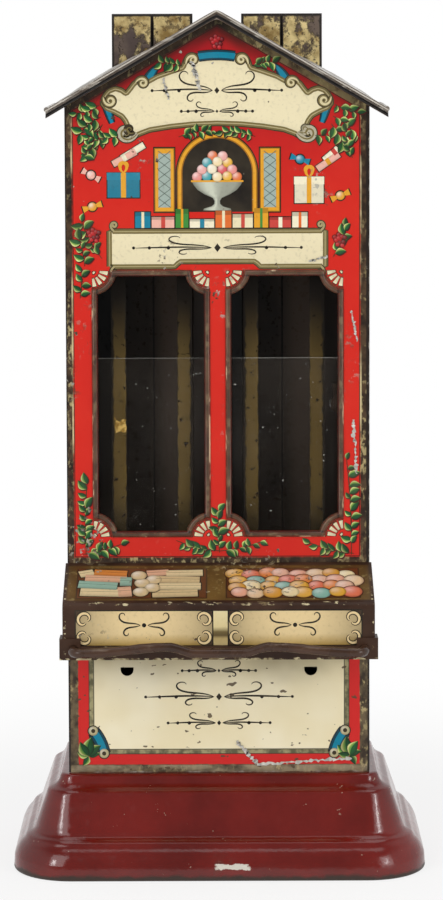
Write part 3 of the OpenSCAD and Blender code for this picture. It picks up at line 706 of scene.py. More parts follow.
ARCH_HALF, ARCH_FOOT, ARCH_SPRING, HOOP_R = 11.4, 218.8, 231.6, 12.3
PANEL_SIDES, PANEL_TOP, LATTICE_STEP, LATTICE_RISE = (14.0, 20.6), 239.8, 3.1, 3.0
BOWL_HALF, BOWL_RIM, SWEET_R = 8.6, 228.9, 1.65
GREY_GLASS, LEAD, SILVER = flat_ink("9FB0A8", "5F6E68", "C9CDBB")
wide = np.linspace(-1, 1, 33)
top = ARCH_SPRING + ARCH_HALF * np.sqrt(1 - wide ** 2)
arch = np.stack([np.stack([wide * ARCH_HALF, np.full(33, ARCH_FOOT)], -1),
                 np.stack([wide * ARCH_HALF, top], -1)], 0)
turn = np.radians(np.linspace(180, 0, 40))
hoop = [0, ARCH_SPRING] + HOOP_R * ray(turn)
hoop = np.concatenate([[[-HOOP_R, ARCH_FOOT]], hoop, [[HOOP_R, ARCH_FOOT]]])
niche = strokes(hoop, (2.6, BLACK, 1), (1.8, DEEP_GOLD, 3), (1.0, GOLD, 4)) + [patch(arch, BLACK, 2)]
for side in (-1, 1):
    left, right = np.sort(np.array(PANEL_SIDES) * side)
    for inset, over, tint, layer in ((-0.35, 0.4, BLACK, 1), (0, 0, DEEP_GOLD, 2), (0.3, -0.3, GOLD, 3)):
        foot, top = ARCH_FOOT + inset, PANEL_TOP + over
        niche.append(box_patch(left + inset, right - inset, foot, top, tint, layer))
    left, right, foot = left + 1.3, right - 1.3, ARCH_FOOT + 1.5
    niche.append(box_patch(left, right, foot, PANEL_TOP - 1.8, GREY_GLASS, 4))
    for low in foot + LATTICE_STEP * np.arange(6):
        for a, b in ((0, LATTICE_RISE), (LATTICE_RISE, 0)):
            niche.append(stroke(np.linspace([left, low + a], [right, low + b], 4), 0.25, LEAD, 5))
level = np.array([219.3, 219.9, 220.6, 221.4, 222.4, 223.4, 224.6, 226.0, 227.6, 228.8, 229.2])
reach = np.array([4.6, 4.4, 1.9, 1.0, 0.9, 1.5, 4.2, 6.4, 7.7, 8.3, 8.6])
u = np.linspace(-1, 1, 9)
bowl = np.stack([reach[:, None] * u, np.broadcast_to(level[:, None], (len(level), len(u)))], -1)
gleam = (0.55 + 0.5 * np.exp(-((u + 0.35) / 0.35) ** 2) - 0.25 * (np.abs(u) > 0.9))[None, :, None]
niche.append(patch(bowl, np.clip(SILVER * gleam, 0, 1), 4))
niche.append(stroke(np.linspace([-BOWL_HALF, BOWL_RIM], [BOWL_HALF, BOWL_RIM], 9), 0.6, GOLD, 5))
heap = np.array([
    [-6.6, 230.3], [-3.4, 230.5], [0.0, 230.3], [3.3, 230.5], [6.5, 230.3], [-5.0, 232.7], [-1.7, 232.9],
    [1.7, 232.8], [4.9, 232.7], [-3.3, 235.0], [0.1, 235.3], [3.4, 235.0], [-1.5, 237.2], [1.8, 237.1]])
heap_tints = flat_ink("E58E86", "E8B23C", "EFE3C6", "3E9EA6", "DE7038", "D9555A", "F0D9A8", "E7A7A0")
heap_tints = heap_tints[np.arange(len(heap)) * 3 % len(heap_tints)]
niche += [disc(heap, SWEET_R + 0.25, BLACK, 4, 0), disc(heap, SWEET_R, heap_tints, 5, 0.5)]
print_piece("gable_niche_print", niche)

# Plaque over the windows: a cream strip in an olive frame, cut out in the middle of its foot.
# A row of small boxes of many colours stands on it.

PLAQUE_HALF, PLAQUE_LOW, PLAQUE_HIGH, BOX_FOOT = 35.4, 200.9, 212.4, 213.6
OLIVE_THREAD = flat_ink("A79B70")[0]
wide = np.linspace(-1, 1, 71) * PLAQUE_HALF
notch = 1 / (1 + np.exp((np.abs(wide) - 13.2) * 6))
plaque = np.stack([np.stack([wide, PLAQUE_LOW + 1.7 * notch], -1),
                   np.stack([wide, np.full(71, PLAQUE_HIGH)], -1)], 0)
around = np.concatenate([plaque[0], plaque[1, ::-1], plaque[0, :1]])
boxes = strokes(around, (2.2, DARK_OLIVE, 0), (1.5, OLIVE, 3), (0.35, OLIVE_THREAD, 4))
boxes.append(patch(plaque, np.stack([CREAM * 0.93, CREAM])[:, None], 1))
for spot, heading, bends in (((34.0, 212.6), 40, (90, 380)), ((34.0, 200.8), -40, (-90, -380))):
    for path in mirrored(pen(spot, heading, bends, 7.0, 30)):
        boxes += strokes(path, (1.4, DARK_OLIVE, 4), (0.7, OLIVE_THREAD, 5))
boxes += flourish((0, 207.0), 26.0, 3, 0.5, 0.42)
at = -27.0
for width, tall, tint, band in (
        (5.0, 5.2, TEAL, CREAM), (7.4, 3.6, PINK, ROSE), (4.2, 6.2, LEAF_GREEN, GOLD),
        (8.0, 2.8, PALE, TEAL), (5.2, 5.6, ORANGE, CREAM), (6.6, 4.4, CREAM, ROSE),
        (4.6, 6.4, GOLD, LEAF_GREEN), (7.0, 3.4, ROSE, PALE), (5.0, 5.0, PALE, ORANGE)):
    top = BOX_FOOT + tall
    boxes += [box_patch(at - 0.3, at + width + 0.3, BOX_FOOT - 0.2, top + 0.3, BLACK, 1),
              box_patch(at, at + width, BOX_FOOT, top, tint, 6),
              box_patch(at, at + width, BOX_FOOT + tall * 0.74, top, tint * 0.62, 7),
              box_patch(at + width * 0.42, at + width * 0.6, BOX_FOOT, top, band, 8)]
    at += width + 0.45
print_piece("plaque_print", boxes)

# Keystones: a quarter fan of petals in each round notch of the windows, printed in cream ink.
# Each petal has a dark edge and is shaded towards the corner.

FAN_R = 6.05

def fan(centre, quarter, layer):
    """Five petals in a quarter circle: each is a patch between two radii and two angles."""
    across = np.linspace(0, 1, 5)
    out = []
    for inner, outer, count, shrink in ((2.5, 5.75, 4, 0.64), (0.5, 1.7, 1, 0.5)):
        step = 90 / count
        for k in range(count):
            for grow, tint, up in ((shrink + 0.2, BLACK, 0), (shrink, CREAM, 1)):
                mid, half = np.radians(quarter + step * (k + 0.5)), np.radians(step / 2 * grow * 0.96)
                angle = mid + (across * 2 - 1) * half
                edge = 0.28 * up
                radius = np.array([inner + edge, (inner + outer) / 2, outer - edge])[:, None]
                grid = centre + radius[..., None] * ray(angle)
                shadow = np.linspace(0.7, 1, 3)[:, None, None]
                out.append(patch(grid, tint * shadow, layer + up))
    turn = np.radians(quarter + np.linspace(0, 90, 16))
    out.append(stroke(centre + FAN_R * ray(turn), 0.3, DARK_OLIVE, layer))
    return out


fans = []
for side in (-1, 1):
    for sx, sz, quarter in ((1, 1, 180), (-1, 1, 270), (-1, -1, 0), (1, -1, 90)):
        centre = (side * WINDOW_X + sx * (WINDOW_HALF + BEAD_W), WINDOW_Z + sz * (WINDOW_TALL + BEAD_W))
        fans += fan(centre, quarter, 0)
print_piece("keystone_print", fans)

# Leaf sprays and berries: sprigs round the shield, beside the plaque and below the windows.
# They are printed in greens on the red ground, and their leaves keep off the windows.

sprays = []
for start, heading, bends, length, count, size in (
        ((-31.5, 243.6), 176, (30,), 9, 8, 4.0), ((32.0, 243.8), 4, (-30,), 8, 6, 4.0),
        ((-38.6, 254.0), 215, (-30,), 8, 7, 4.0), ((-38.0, 250.0), 200, (40,), 9, 8, 4.0),
        ((-37.4, 247.6), 232, (20,), 11, 10, 4.0), ((-44.0, 236.0), 62, (30,), 9, 7, 3.6),
        ((-11.4, 266.6), 158, (26,), 7, 8, 3.4), ((11.4, 266.6), 22, (-26,), 7, 8, 3.4),
        ((38.6, 254.0), -35, (30,), 8, 6, 4.0), ((38.0, 250.0), -20, (-40,), 9, 6, 4.0),
        ((37.4, 247.6), -52, (-20,), 10, 7, 4.0), ((44.4, 236.4), 118, (-30,), 9, 6, 3.6),
        ((-12.6, 243.4), 24, (-30,), 11, 11, 3.0), ((12.6, 243.4), 156, (30,), 11, 11, 3.0),
        ((-38.0, 203.6), 128, (-20,), 14, 11, 4.0), ((-43.6, 201.0), 96, (10,), 9, 7, 3.8),
        ((-45.2, 190.4), 80, (14,), 9, 6, 3.4), ((38.0, 203.8), 58, (20,), 11, 8, 3.8),
        ((-44.8, 105.4), 8, (14,), 13, 11, 4.2), ((-43.8, 105.0), 92, (-6,), 24, 17, 4.0),
        ((44.8, 105.4), 174, (-16,), 15, 12, 4.2), ((44.0, 105.0), 89, (8,), 32, 21, 4.0),
        ((0.5, 106.4), 176, (-20,), 15, 12, 4.0), ((0.5, 106.4), 4, (20,), 16, 13, 4.0),
        ((0.4, 105.8), 96, (-10,), 14, 11, 3.8)):
    sprays += spray(start, heading, bends, length, count, size * LEAF_SCALE, 8 + len(sprays) // 3 % 4)
for spot in ((-40.6, 211.4), (40.2, 209.6), (0.0, 274.6)):
    sprays += berries(spot, 14)
print_piece("leaf_spray_print", sprays, "printed_red")

# Small wares beside the niche: two tied boxes, rolls of sweets and wrapped drops.
# They are printed in flat inks with dark outlines on the red ground.

wares = []
for x0, z0, width, tall, tint, band in (
        (-36.0, 223.6, 10.5, 8.0, TEAL, GOLD), (25.4, 221.6, 9.5, 8.5, PALE, GOLD)):
    wares += [box_patch(x0 - 0.35, x0 + width + 0.35, z0 - 0.35, z0 + tall + 0.35, BLACK, 1),
              box_patch(x0, x0 + width, z0, z0 + tall, tint * 0.85, 2),
              box_patch(x0 - 0.2, x0 + width + 0.2, z0 + tall * 0.72, z0 + tall + 0.2, tint, 3),
              box_patch(x0 + width * 0.42, x0 + width * 0.58, z0, z0 + tall + 0.2, band, 4)]
    for path in mirrored(pen((0, 0), 35, (150, 180), 7.5, 30)):
        wares.append(stroke(path + [x0 + width / 2, z0 + tall + 0.2], taper(30, 1.1), band, 5))
for spot, angle, tint, band in (
        ((-27.6, 238.6), 0.55, PALE, PINK), ((-30.4, 236.6), 0.5, PINK, PALE),
        ((38.4, 238.4), 0.7, PALE, ROSE), ((36.4, 235.2), 0.6, PINK, GOLD)):
    for half, tall, colour, layer in ((4.6, 1.35, BLACK, 3), (4.3, 1.1, tint, 4), (0.7, 1.1, band, 5)):
        wares.append(banded_box(spot, half, tall, angle, colour, (0.7, 0.95, 1, 1, 0.8), layer))
wrapper = np.array([[[-3.2, -1.1], [0, -0.15], [3.2, -1.1]], [[-3.2, 1.1], [0, 0.15], [3.2, 1.1]]])
for spot, angle, tint in (
        ((40.4, 224.0), 0.4, GOLD), ((-41.4, 231.0), -0.5, PINK), ((27.2, 236.0), -0.3, TEAL),
        ((-41.0, 220.6), 0.3, GOLD)):
    for grow, colour, layer in ((1.25, BLACK, 4), (1.0, tint, 5)):
        wares.append(patch(turned(wrapper * grow ** 0.5, angle) + spot, colour, layer))
        wares.append(disc([spot], 1.45 * grow, colour, layer + 1, 0.5 * (grow == 1)))
print_piece("gable_wares_print", wares)

# Lower panel ornament: a rolled blue corner with leaves on each side, printed on the cream sheet.
# Pen scrolls fill the middle, a small one under the counter and two larger ones below it.

panel_print = []
ROLL_END = flat_ink("B9AD83")[0]
for side in (-1, 1):
    path = pen((41.9, 46.0), -130, (30,), 8.5) * [side, 1]
    panel_print += strokes(path, (4.4, BLACK, 1), (3.8, DEEP_TEAL, 2), (2.2, TEAL, 3))
    for end in (path[0], path[-1]):
        panel_print += [disc([end], 1.9, BLACK, 3, 0), disc([end], 1.6, ROLL_END, 4, 0.3),
                        disc([end], 0.7, DARK_OLIVE, 5, 0)]
    spots = np.tile([side * 43.5, 37.6], (6, 1))
    angles = np.radians([100, 60, 140, -60, 20, 170] if side > 0 else [80, 120, 40, 240, 160, 10])
    panel_print.append(leaves(spots, angles, np.array([6.5, 5.5, 5.5, 3.8, 4.0, 4.0]), 5))
for level, wide, heavy, tall in ((66.2, 11.5, 0.5, 0.85), (57.4, 23.0, 0.6, 0.62), (48.6, 16.0, 0.5, 0.62)):
    panel_print += flourish((0, level), wide, 1, heavy, tall)
print_piece("lower_panel_print", panel_print)

# Scratches: jagged marks where the print was torn off the front and the lower panel.
# They are bare tin, bright in places and dull in others.

marks = []
BRIGHT_TIN = flat_ink("C9C6BE")[0]
for start, end, wide in (
        ((44.6, 150.0), (45.8, 132.0), 0.9), ((43.8, 186.0), (46.0, 176.0), 0.6),
        ((5.6, 42.6), (12.8, 34.6), 1.0), ((13.0, 34.6), (44.0, 36.6), 0.9),
        ((-8.0, 268.4), (-5.6, 259.0), 1.1), ((-17.6, 262.6), (-15.8, 256.0), 0.7),
        ((30.0, 202.5), (36.0, 204.0), 0.5)):
    path = np.linspace(start, end, 40) + rng.normal(0, 0.2, (40, 2))
    tone = rng.uniform(0.55, 1.25, (40, 1, 1))
    marks.append(stroke(path, wide * rng.uniform(0.1, 1.7, 40), BRIGHT_TIN * tone, 17))
print_piece("scratch_marks", marks, "bare_tin")

# Pane: one sheet of old window glass that slides in two folded channels and stands on a folded sill.
# It is dusty, with a bright ground edge along the top, and leaves the upper part of the windows open.
# The channels, the sill and the plates and runners inside the case are old tin, painted nearly black as
# painted shade.

PANE_TOP = 170.4
glass, place = new_finish("dusty_glass")
z = axes(place)[2]
dust = grain(place, 35, 4).ease(0.42, 0.75)
specks = grain(place, 900, 1).ease(0.755, 0.78) * grain(place, 60, 2).ease(0.45, 0.6)
smears = grain(place, 50, 4, (1, 1, 0.25)).ease(0.5, 0.75)
top_edge = z.ease(PANE_TOP - 0.2, PANE_TOP)
veil = 0.018 + dust * 0.03 + smears * 0.02
veil = veil.most(specks * 0.6).most(top_edge * (0.07 + grain(place, 70, 3).ease(0.35, 0.65) * 0.1))
colour = top_edge.most(specks).mix("756C62", "CFD0C8")
shade(place, colour, 0.2 + dust * 0.25, 0.0, alpha=veil)
repaint(glass, "window_glass")

inner_tin_painted_shade, place = new_finish("dark_inner_tin")
cloud = grain(place, 60, 4)
stain = grain(place, 300, 3).ease(0.55, 0.7)
colour = coats(cloud.ease(0.3, 0.72).mix("17120E", "2C241C"), (stain * 0.25, "3A2E20"))
shade(place, colour, 0.5 + cloud * 0.2, 0.3, cloud + stain, 0.05)
repaint(inner_tin_painted_shade, "left_glass_channel", "right_glass_channel", "glass_sill", "magazine_floor", "magazine_top",
        "drawer_shelf", "left_runner", "right_runner")

# Magazine rails: four strips with bent lips that hold the stacks of sweets, soldered to the floor plate.
# They are brass-coloured tin, gone brown, with ragged dark edges where the lacquer has flaked; their tops and
# feet are darkened as painted shade.

RAIL_X, FLASH_X, FLASH_Z = 10.7, -32.2, 147.0
old_brass, place = new_finish("tarnished_rail")
x, y, z = axes(place)
across = abs(abs(x) - WINDOW_X)
cloud = grain(place, 40, 4, (1, 1, 0.3))
ragged = (abs(across - RAIL_X) + stray(place, 280, 4, 2.0)).ease(1.7, 2.3)
spots = grain(place, 500, 3).ease(0.62, 0.7)
flash = (abs(x - FLASH_X) * 0.55).most(abs(z - FLASH_Z) * 0.45) + stray(place, 420, 4, 2.6)
# Painted shade: the rails go nearly black towards their tops and darker at their feet, and lose their shine
# there.
painted_shade_top_and_foot = z.ease(160, 192).most(z.ease(126, 112) * 0.6)
colour = coats(
    cloud.ease(0.3, 0.7).mix("53421A", "6B5830"),
    (ragged.most(spots), "1B150E"),
    (flash.ease(1.0, 0.8), grain(place, 500, 3).ease(0.4, 0.6).mix("94702C", "DDB968")), (painted_shade_top_and_foot, "17120D"))
shade(place, colour, 0.45 + spots * 0.25 + painted_shade_top_and_foot * 0.3, (1 - painted_shade_top_and_foot) * 0.25, cloud + spots, 0.05, specular=0.15)
repaint(old_brass, "left_outer_rail", "left_inner_rail", "right_inner_rail", "right_outer_rail")

# Roof: one sheet folded at the ridge, its front edge turned down into a double hem and its eaves rolled up.
# It is tinplate gone grey, dented by hand, and is notched behind for the two coin receptors.

RIDGE_Z, RIDGE_ROUND, ROOF_TIP, ROOF_FRONT, ROOF_BACK = 284.69, 0.5, 55.6, -28.5, 23.5
NOTCH_HALF, NOTCH_Y = 14.4, 15.9
DENT, RIPPLE, BENT_UP, ROLL_R, ROLL_DROP = 0.16, 0.1, 1.5, 0.85, 0.35


def pitch_height(x):
    """Height of the two slopes, with a fold at the ridge that is eased over 1.5 mm."""
    return RIDGE_Z - SLOPE * (np.sqrt(x * x + RIDGE_ROUND) - 0.707)


def roof_height(x, y):
    """The slopes, dented by slow waves behind the hem and bent up a little behind the eaves."""
    dents = DENT * np.sin(x * 0.31 + y * 0.12) * np.sin(y * 0.23 + 1.0)
    dents = dents + RIPPLE * np.sin(x * 0.72 - y * 0.19)
    lift = BENT_UP * np.exp(-((np.abs(x) - 40) / 14) ** 2) * np.clip((y + 26) / 40, 0, 1)
    inner = np.clip((y - ROOF_FRONT - 1) / 6, 0, 1)
    return pitch_height(x) + dents * inner + lift


def roof_mesh():
    """Grid across and along the roof, with the cells of the two notches left out."""
    sides = np.array([WINDOW_X - NOTCH_HALF, WINDOW_X + NOTCH_HALF])
    x = np.unique(np.concatenate([np.linspace(-ROOF_TIP, ROOF_TIP, 113), sides, -sides]))
    y = np.append(np.linspace(ROOF_FRONT + 0.3, NOTCH_Y, 46), np.linspace(NOTCH_Y, ROOF_BACK, 9)[1:])
    along, across = np.meshgrid(y, x, indexing="ij")
    points = np.stack([across, along, roof_height(across, along)], -1)
    mid_x, mid_y = (x[1:] + x[:-1]) / 2, (y[1:] + y[:-1]) / 2
    cut = (mid_y[:, None] > NOTCH_Y) & (np.abs(np.abs(mid_x) - WINDOW_X) < NOTCH_HALF)[None, :]
    return points, grid_quads(len(y), len(x))[~cut.ravel()]


def tube_faces(rings, count):
    """Quads between rings of points, counted ring by ring, and a face on each end."""
    ring = np.arange(count)
    return [*grid_quads(rings, count, wrap_cols=True), ring[::-1], (rings - 1) * count + ring]


def hem_mesh():
    """Section of the hem, two rolled edges with a groove between, carried along the roof's front edge."""
    section = np.array([
        [1.2, 0.35], [0.95, -0.04], [0.5, -0.06], [0.16, 0.12], [0.0, 0.42], [0.08, 0.78], [0.42, 1.0],
        [0.62, 1.3], [0.62, 1.75], [0.34, 2.0], [0.04, 2.25], [0.0, 2.6], [0.2, 2.85], [0.6, 2.92],
        [1.0, 2.85], [1.2, 2.6]])
    x = np.linspace(-ROOF_TIP - 0.3, ROOF_TIP + 0.3, 141)[:, None]
    bent = 0.18 * np.sin(x * 0.21 + 0.7) + 0.12 * np.sin(x * 0.53)
    points = np.stack([x + 0 * section[:, 0],
                       ROOF_FRONT + section[:, 0] + 0 * x,
                       pitch_height(x) - section[:, 1] * (1 + 0.04 * bent)], -1)
    return points, tube_faces(len(x), len(section))


def roll_mesh(side):
    """A tube along one eave, a little crooked, closed at both ends."""
    turn = np.radians(np.arange(0, 360, 22.5))
    y = np.linspace(ROOF_FRONT + 0.1, ROOF_BACK - 0.1, 40)[:, None]
    bend = 0.12 * np.sin(y * 0.3 + side)
    radius = ROLL_R + 0.05 * np.sin(y * 0.9)
    points = np.stack([side * ROOF_TIP + radius * np.cos(turn) + bend,
                       y + 0 * turn,
                       roof_height(ROOF_TIP, y) - ROLL_DROP + radius * np.sin(turn)], -1)
    return points, [face[::-1] for face in tube_faces(len(y), len(turn))]


roof_tin, place = new_finish("grey_roof_tin")
x, y, z = axes(place)
depth = RIDGE_Z - abs(x) * SLOPE - z
cloud = grain(place, 45, 5)
streak = grain(place, 120, 4, (1, 0.12, 1))
spots = grain(place, 380, 4).ease(0.56, 0.7)
hem = y.ease(-27.0, -27.4)
# Painted shadow: a dark line in the groove of the hem, between its two rolled edges.
groove = line_at(depth + stray(place, 260, 3, 0.7), 1.75, 0.62) * hem
lower = hem * (depth + stray(place, 300, 3, 1.6)).ease(1.6, 2.3)
# Painted highlights: light streaks on the upper roll of the hem and lines along the crests of both rolled
# edges, mixed in as bright.
painted_highlight_streaks = grain(place, 420, 4, (0.12, 1, 1)).ease(0.52, 0.64) * depth.ease(1.5, 1.0) * 0.7
painted_crest_highlights = line_at(depth, 0.15, 0.25).most(line_at(depth, 2.75, 0.2) * 0.4)
bright = (painted_crest_highlights * grain(place, 150, 4, (0.3, 1, 1)).ease(0.33, 0.55)).most(painted_highlight_streaks)
# Painted shade: every face that turns downwards, away from the hem, is darkened.
facing = place.add("NewGeometry", {}, "Normal")
under = place.add("SeparateXYZ", {0: facing}, 2).ease(-0.3, -0.5)
colour = coats(
    streak.ease(0.3, 0.7).mix("ADA89F", "E4E1DB"),
    (cloud.ease(0.45, 0.7) * 0.6, "6A5F50"), (spots * 0.55, "3E3022"),
    (hem * spots.most(grain(place, 160, 3).ease(0.45, 0.6)) * 0.7, "4A3D30"), (lower * 0.5, "574836"),
    (hem * 0.85, "4C3B2B"), (hem * bright * 0.85, "CFC8BC"), (groove, "0E0A08"),
    (under * (1 - hem), "2A2119"))
metal = (0.45 - spots * 0.3) * (1 - hem * 0.8)
shade(place, colour, 0.32 + cloud * 0.2 + spots * 0.25, metal, streak * 2 + cloud, 0.06)
roof_sheet = make_piece("roof_sheet", *roof_mesh(), "casing", "bare_tin", roof_tin)
wall = roof_sheet.modifiers.new("sheet_thickness", "SOLIDIFY")
wall.thickness = TIN * MM
wall.offset = -1.0
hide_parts("roof")
make_piece("verge_hem", *hem_mesh(), "casing", "bare_tin", roof_tin)
for side, name in ((-1, "left_eave_roll"), (1, "right_eave_roll")):
    make_piece(name, *roll_mesh(side), "casing", "bare_tin", roof_tin)

# Coin receptors: two flat tubes folded from lacquered tin, open at the top, with a fine slit down the front.
# The gold lacquer is half gone and the edges are black; the slit down the middle is painted black as painted
# shade, and inside the case they take the same painted shade and light as the rest.

CHUTE_HALF, MOUTH_Z = 13.1, 283.3
chute_tin, place = new_finish("gold_lacquered_tin")
x, y, z = axes(place)
off = abs(abs(x) - WINDOW_X)
blotch = grain(place, 95, 5, (1, 1, 0.7), 0.66) + (off - 7.0) * 0.004 + x.ease(-20, 20) * 0.03
gold = grain(place, 210, 5).ease(0.32, 0.68).mix("8A6E38", "E0CB90")
gold = (grain(place, 330, 5, (1, 1, 1), 0.7).ease(0.54, 0.6) * 0.75).mix(gold, "523E20")
bare = grain(place, 120, 3).ease(0.35, 0.65).mix("4E403C", "6C5C50")
specks = grain(place, 700, 3).ease(0.58, 0.66)
wobble = stray(place, 400, 2, 0.7)
border = (off + wobble).ease(CHUTE_HALF - 0.4, CHUTE_HALF)
border = border.most((z + wobble).ease(MOUTH_Z - 0.4, MOUTH_Z))
border = border.most((off + wobble * 0.5).ease(0.75, 0.45))
# Painted shade: below the roof, inside the case, the receptors take the painted shade and light of the case's
# inside.
inner = z.ease(258, 252) * y.ease(22.0, 20.0)
seen = 1 - inner
colour = coats(
    blotch.ease(0.53, 0.57).mix(gold, bare),
    (abs(blotch - 0.55).ease(0.035, 0.01) * 0.6, "2E2218"), (specks * 0.75, "2E231A"), (border, "1C140F"),
    (inner, painted_inside_shade_and_light(place)))
shade(place, colour, 0.4 + specks * 0.3 + inner * 0.3, seen * 0.25, (blotch * 3 + specks) * seen, 0.06)
repaint(chute_tin, "left_coin_chute", "right_coin_chute")

# Back door: a gabled sheet on a wire hinge, lacquered brown outside with a gold line; inside, it is painted
# nearly black as painted shade, with painted light on the right half of each magazine.
# The parents open it with a key to empty the cash and to fill the magazines; the lock is old brass.

DOOR_HALF, DOOR_FOOT, DOOR_APEX, DOOR_Y = 49.8, 32.5, 283.5, 23.1
door_brown, place = new_finish("brown_door_lacquer")
x, y, z = axes(place)
roof = (DOOR_APEX - abs(x) * SLOPE - z) * SLOPE_COSINE
edge = (DOOR_HALF - abs(x)).least(z - DOOR_FOOT).least(roof)
cloud = grain(place, 40, 5)
worn = ((1.6 - edge) * 0.45 + grain(place, 300, 4)).ease(0.7, 0.9)
rubbed = chipped(place).most(worn)
inside = 1 - y.ease(DOOR_Y, DOOR_Y + 0.2).most(x.ease(-47.3, -47.6))
colour = coats(
    cloud.ease(0.3, 0.72).mix("3F2A20", "5C4030"),
    (line_at(edge, 6.0, 0.4), "A88C50"), (line_at(edge, 7.6, 0.16), "A88C50"),
    (rubbed, bare_spots(place)), (inside, painted_inside_shade_and_light(place)))
shade(place, colour, 0.34 + cloud * 0.12 + rubbed * 0.2, 0.0, cloud * 3 - rubbed, 0.06)
repaint(door_brown, "back_door")

lock_brass, place = new_finish("old_lock_brass")
cloud = grain(place, 200, 4)
turned_lines = grain(place, 1500, 2, (1, 0.1, 1))
tarnish = grain(place, 420, 4).ease(0.5, 0.68)
# Painted shade: the part of the lock inside the case takes the painted shade and light of the case's inside.
colour = coats(
    cloud.ease(0.3, 0.7).mix("8A6A2C", "B8974E"),
    (tarnish * 0.7, "4A3618"), (axes(place)[1].ease(23.2, 22.6), painted_inside_shade_and_light(place)))
shade(place, colour, 0.28 + tarnish * 0.3, 0.9 - tarnish * 0.4, turned_lines + cloud, 0.03)
repaint(lock_brass, "keyhole_plate", "lock_plug")

# Drawer: a tray folded from plain tin and soldered at its corners, with a divider and two coin pockets.
# The tin has gone dull and brown, streaked across by the sweets.

tray_tin, place = new_finish("dull_tray_tin")
cloud = grain(place, 55, 5)
streak = grain(place, 160, 4, (0.15, 1, 1))
stain = grain(place, 240, 4).ease(0.52, 0.7)
colour = coats(
    streak.ease(0.3, 0.7).mix("8C7F5E", "A99C78"),
    (cloud.ease(0.4, 0.7) * 0.6, "6A5A3E"), (stain * 0.6, "42331F"))
shade(place, colour, 0.34 + stain * 0.3, 0.6 - stain * 0.3, streak + cloud, 0.05)
repaint(tray_tin, "drawer_tray", "tray_divider", "coin_carriage")

# Counter: the front of the drawer, one brown sheet bent over the top, with two end cheeks and a rail below.
# The lacquer is dark, worn to olive on the slope and flecked with bare tin along the bends.

COUNTER_Y, COUNTER_TOP, BEND_R = -47.5, 93.6, 2.4
COUNTER_BACK_Y, COUNTER_BACK_Z = -23.8, 102.5
lean = np.arctan2(COUNTER_BACK_Z - COUNTER_TOP, COUNTER_BACK_Y - COUNTER_Y)
BEND_Y = COUNTER_Y + BEND_R * (1 - np.sin(lean))
BEND_Z = COUNTER_TOP - BEND_R * (1 - np.cos(lean))
rise = np.array([COUNTER_BACK_Y - BEND_Y, COUNTER_BACK_Z - BEND_Z])
RISE_Y, RISE_Z = (float(part) for part in rise / np.hypot(*rise))

counter_brown, place = new_finish("brown_counter_lacquer")
x, y, z = axes(place)
up_slope = (y - BEND_Y) * RISE_Y + (z - BEND_Z) * RISE_Z
cloud = grain(place, 60, 5)
dark = cloud.ease(0.3, 0.7).mix("2C1A11", "442E21")
olive = grain(place, 90, 5).ease(0.3, 0.7).mix("50381A", "6E5328")
flecks = grain(place, 420, 4).ease(0.56, 0.7)
olive = (flecks * 0.5).mix(olive, "9C8A58")
on_slope = up_slope.ease(0.6, 1.6) * up_slope.ease(22.6, 21.6) * abs(x).ease(50.0, 48.8)
bend = line_at(up_slope, -0.6, 0.9) * z.ease(90.0, 91.5)
side_edge = line_at(abs(x), 49.9, 0.4)
rail_foot = z.ease(76.2, 75.4)
near = bend.most(side_edge).most(rail_foot * 1.5)
rubbed = (near * 0.2 + grain(place, 620, 4, (0.6, 1, 1))).ease(0.77, 0.84).most(chipped(place) * 0.7)
colour = coats(
    on_slope.mix(dark, olive),
    (rubbed, grain(place, 200, 3).ease(0.4, 0.6).mix("7A684A", "C9BC96")))
shade(place, colour, 0.32 + cloud * 0.15 + rubbed * 0.2, 0.0, cloud * 3 - rubbed, 0.06, specular=0.2)
repaint(counter_brown, "counter_shell", "counter_rail")

# Print on the counter: two pictures of loose sweets on the slope and two cream labels on the front.
# The labels have scrolled corners and pen scrolls, and are soiled towards their ends.

SLOPE_SHEET = ((0, BEND_Y, BEND_Z), (1, 0, 0), (0, RISE_Y, RISE_Z))
LABEL_SHEET = ((0, COUNTER_Y, 0), (1, 0, 0), (0, 0, 1))
EARTH, SAND, SKY, APRICOT, STRAW, BLUSH = flat_ink("5E3318", "D2B98A", "93B5A2", "D4833C", "DFCA9C", "DDAD8C")
DARK_EARTH, SWEET_EDGE = flat_ink("3B2416", "5A2616")

goods = []
for x0, x1 in ((-46.0, -4.2), (2.8, 45.8)):
    goods += [box_patch(x0 - 0.5, x1 + 0.5, 2.2, 20.4, DARK_EARTH, 0), box_patch(x0, x1, 2.6, 20.0, EARTH, 1)]
for spot, half, tall, angle, tint in (
        ((-38.5, 5.8), 6.6, 2.3, -0.05, STRAW), ((-39.5, 10.2), 6.4, 2.2, -0.1, SKY),
        ((-37.0, 14.2), 6.8, 2.1, -0.06, BLUSH), ((-35.5, 17.6), 5.4, 1.8, -0.08, APRICOT),
        ((-43.4, 17.4), 2.4, 1.9, 0.3, STRAW), ((-30.6, 6.2), 2.2, 3.0, 0.1, BLUSH),
        ((-30.4, 12.4), 1.9, 2.6, 0.0, SKY), ((-14.2, 5.2), 7.4, 2.2, 0.04, SAND),
        ((-12.6, 9.4), 6.8, 2.0, 0.0, STRAW), ((-13.4, 13.4), 7.2, 2.1, -0.04, SAND),
        ((-11.2, 17.4), 6.0, 1.9, 0.03, STRAW), ((-20.0, 17.6), 3.6, 1.8, 0.1, BLUSH)):
    for grow, colour, layer in ((0.35, BLACK, 2), (0.0, tint, 3)):
        shades = (0.62, 0.9, 1.0, 1.0, 0.82)
        goods.append(banded_box(spot, half + grow, tall + grow, angle, colour, shades, layer, 6))
    line = np.linspace([-half, tall * 0.25], [half, tall * 0.25], 5)
    goods.append(stroke(turned(line, angle) + spot, 0.22, tint * 0.45, 4))
rolls = np.array([[-25.4, 6.0], [-25.0, 11.4], [-26.2, 16.0], [-21.6, 8.6], [-21.2, 13.4]])
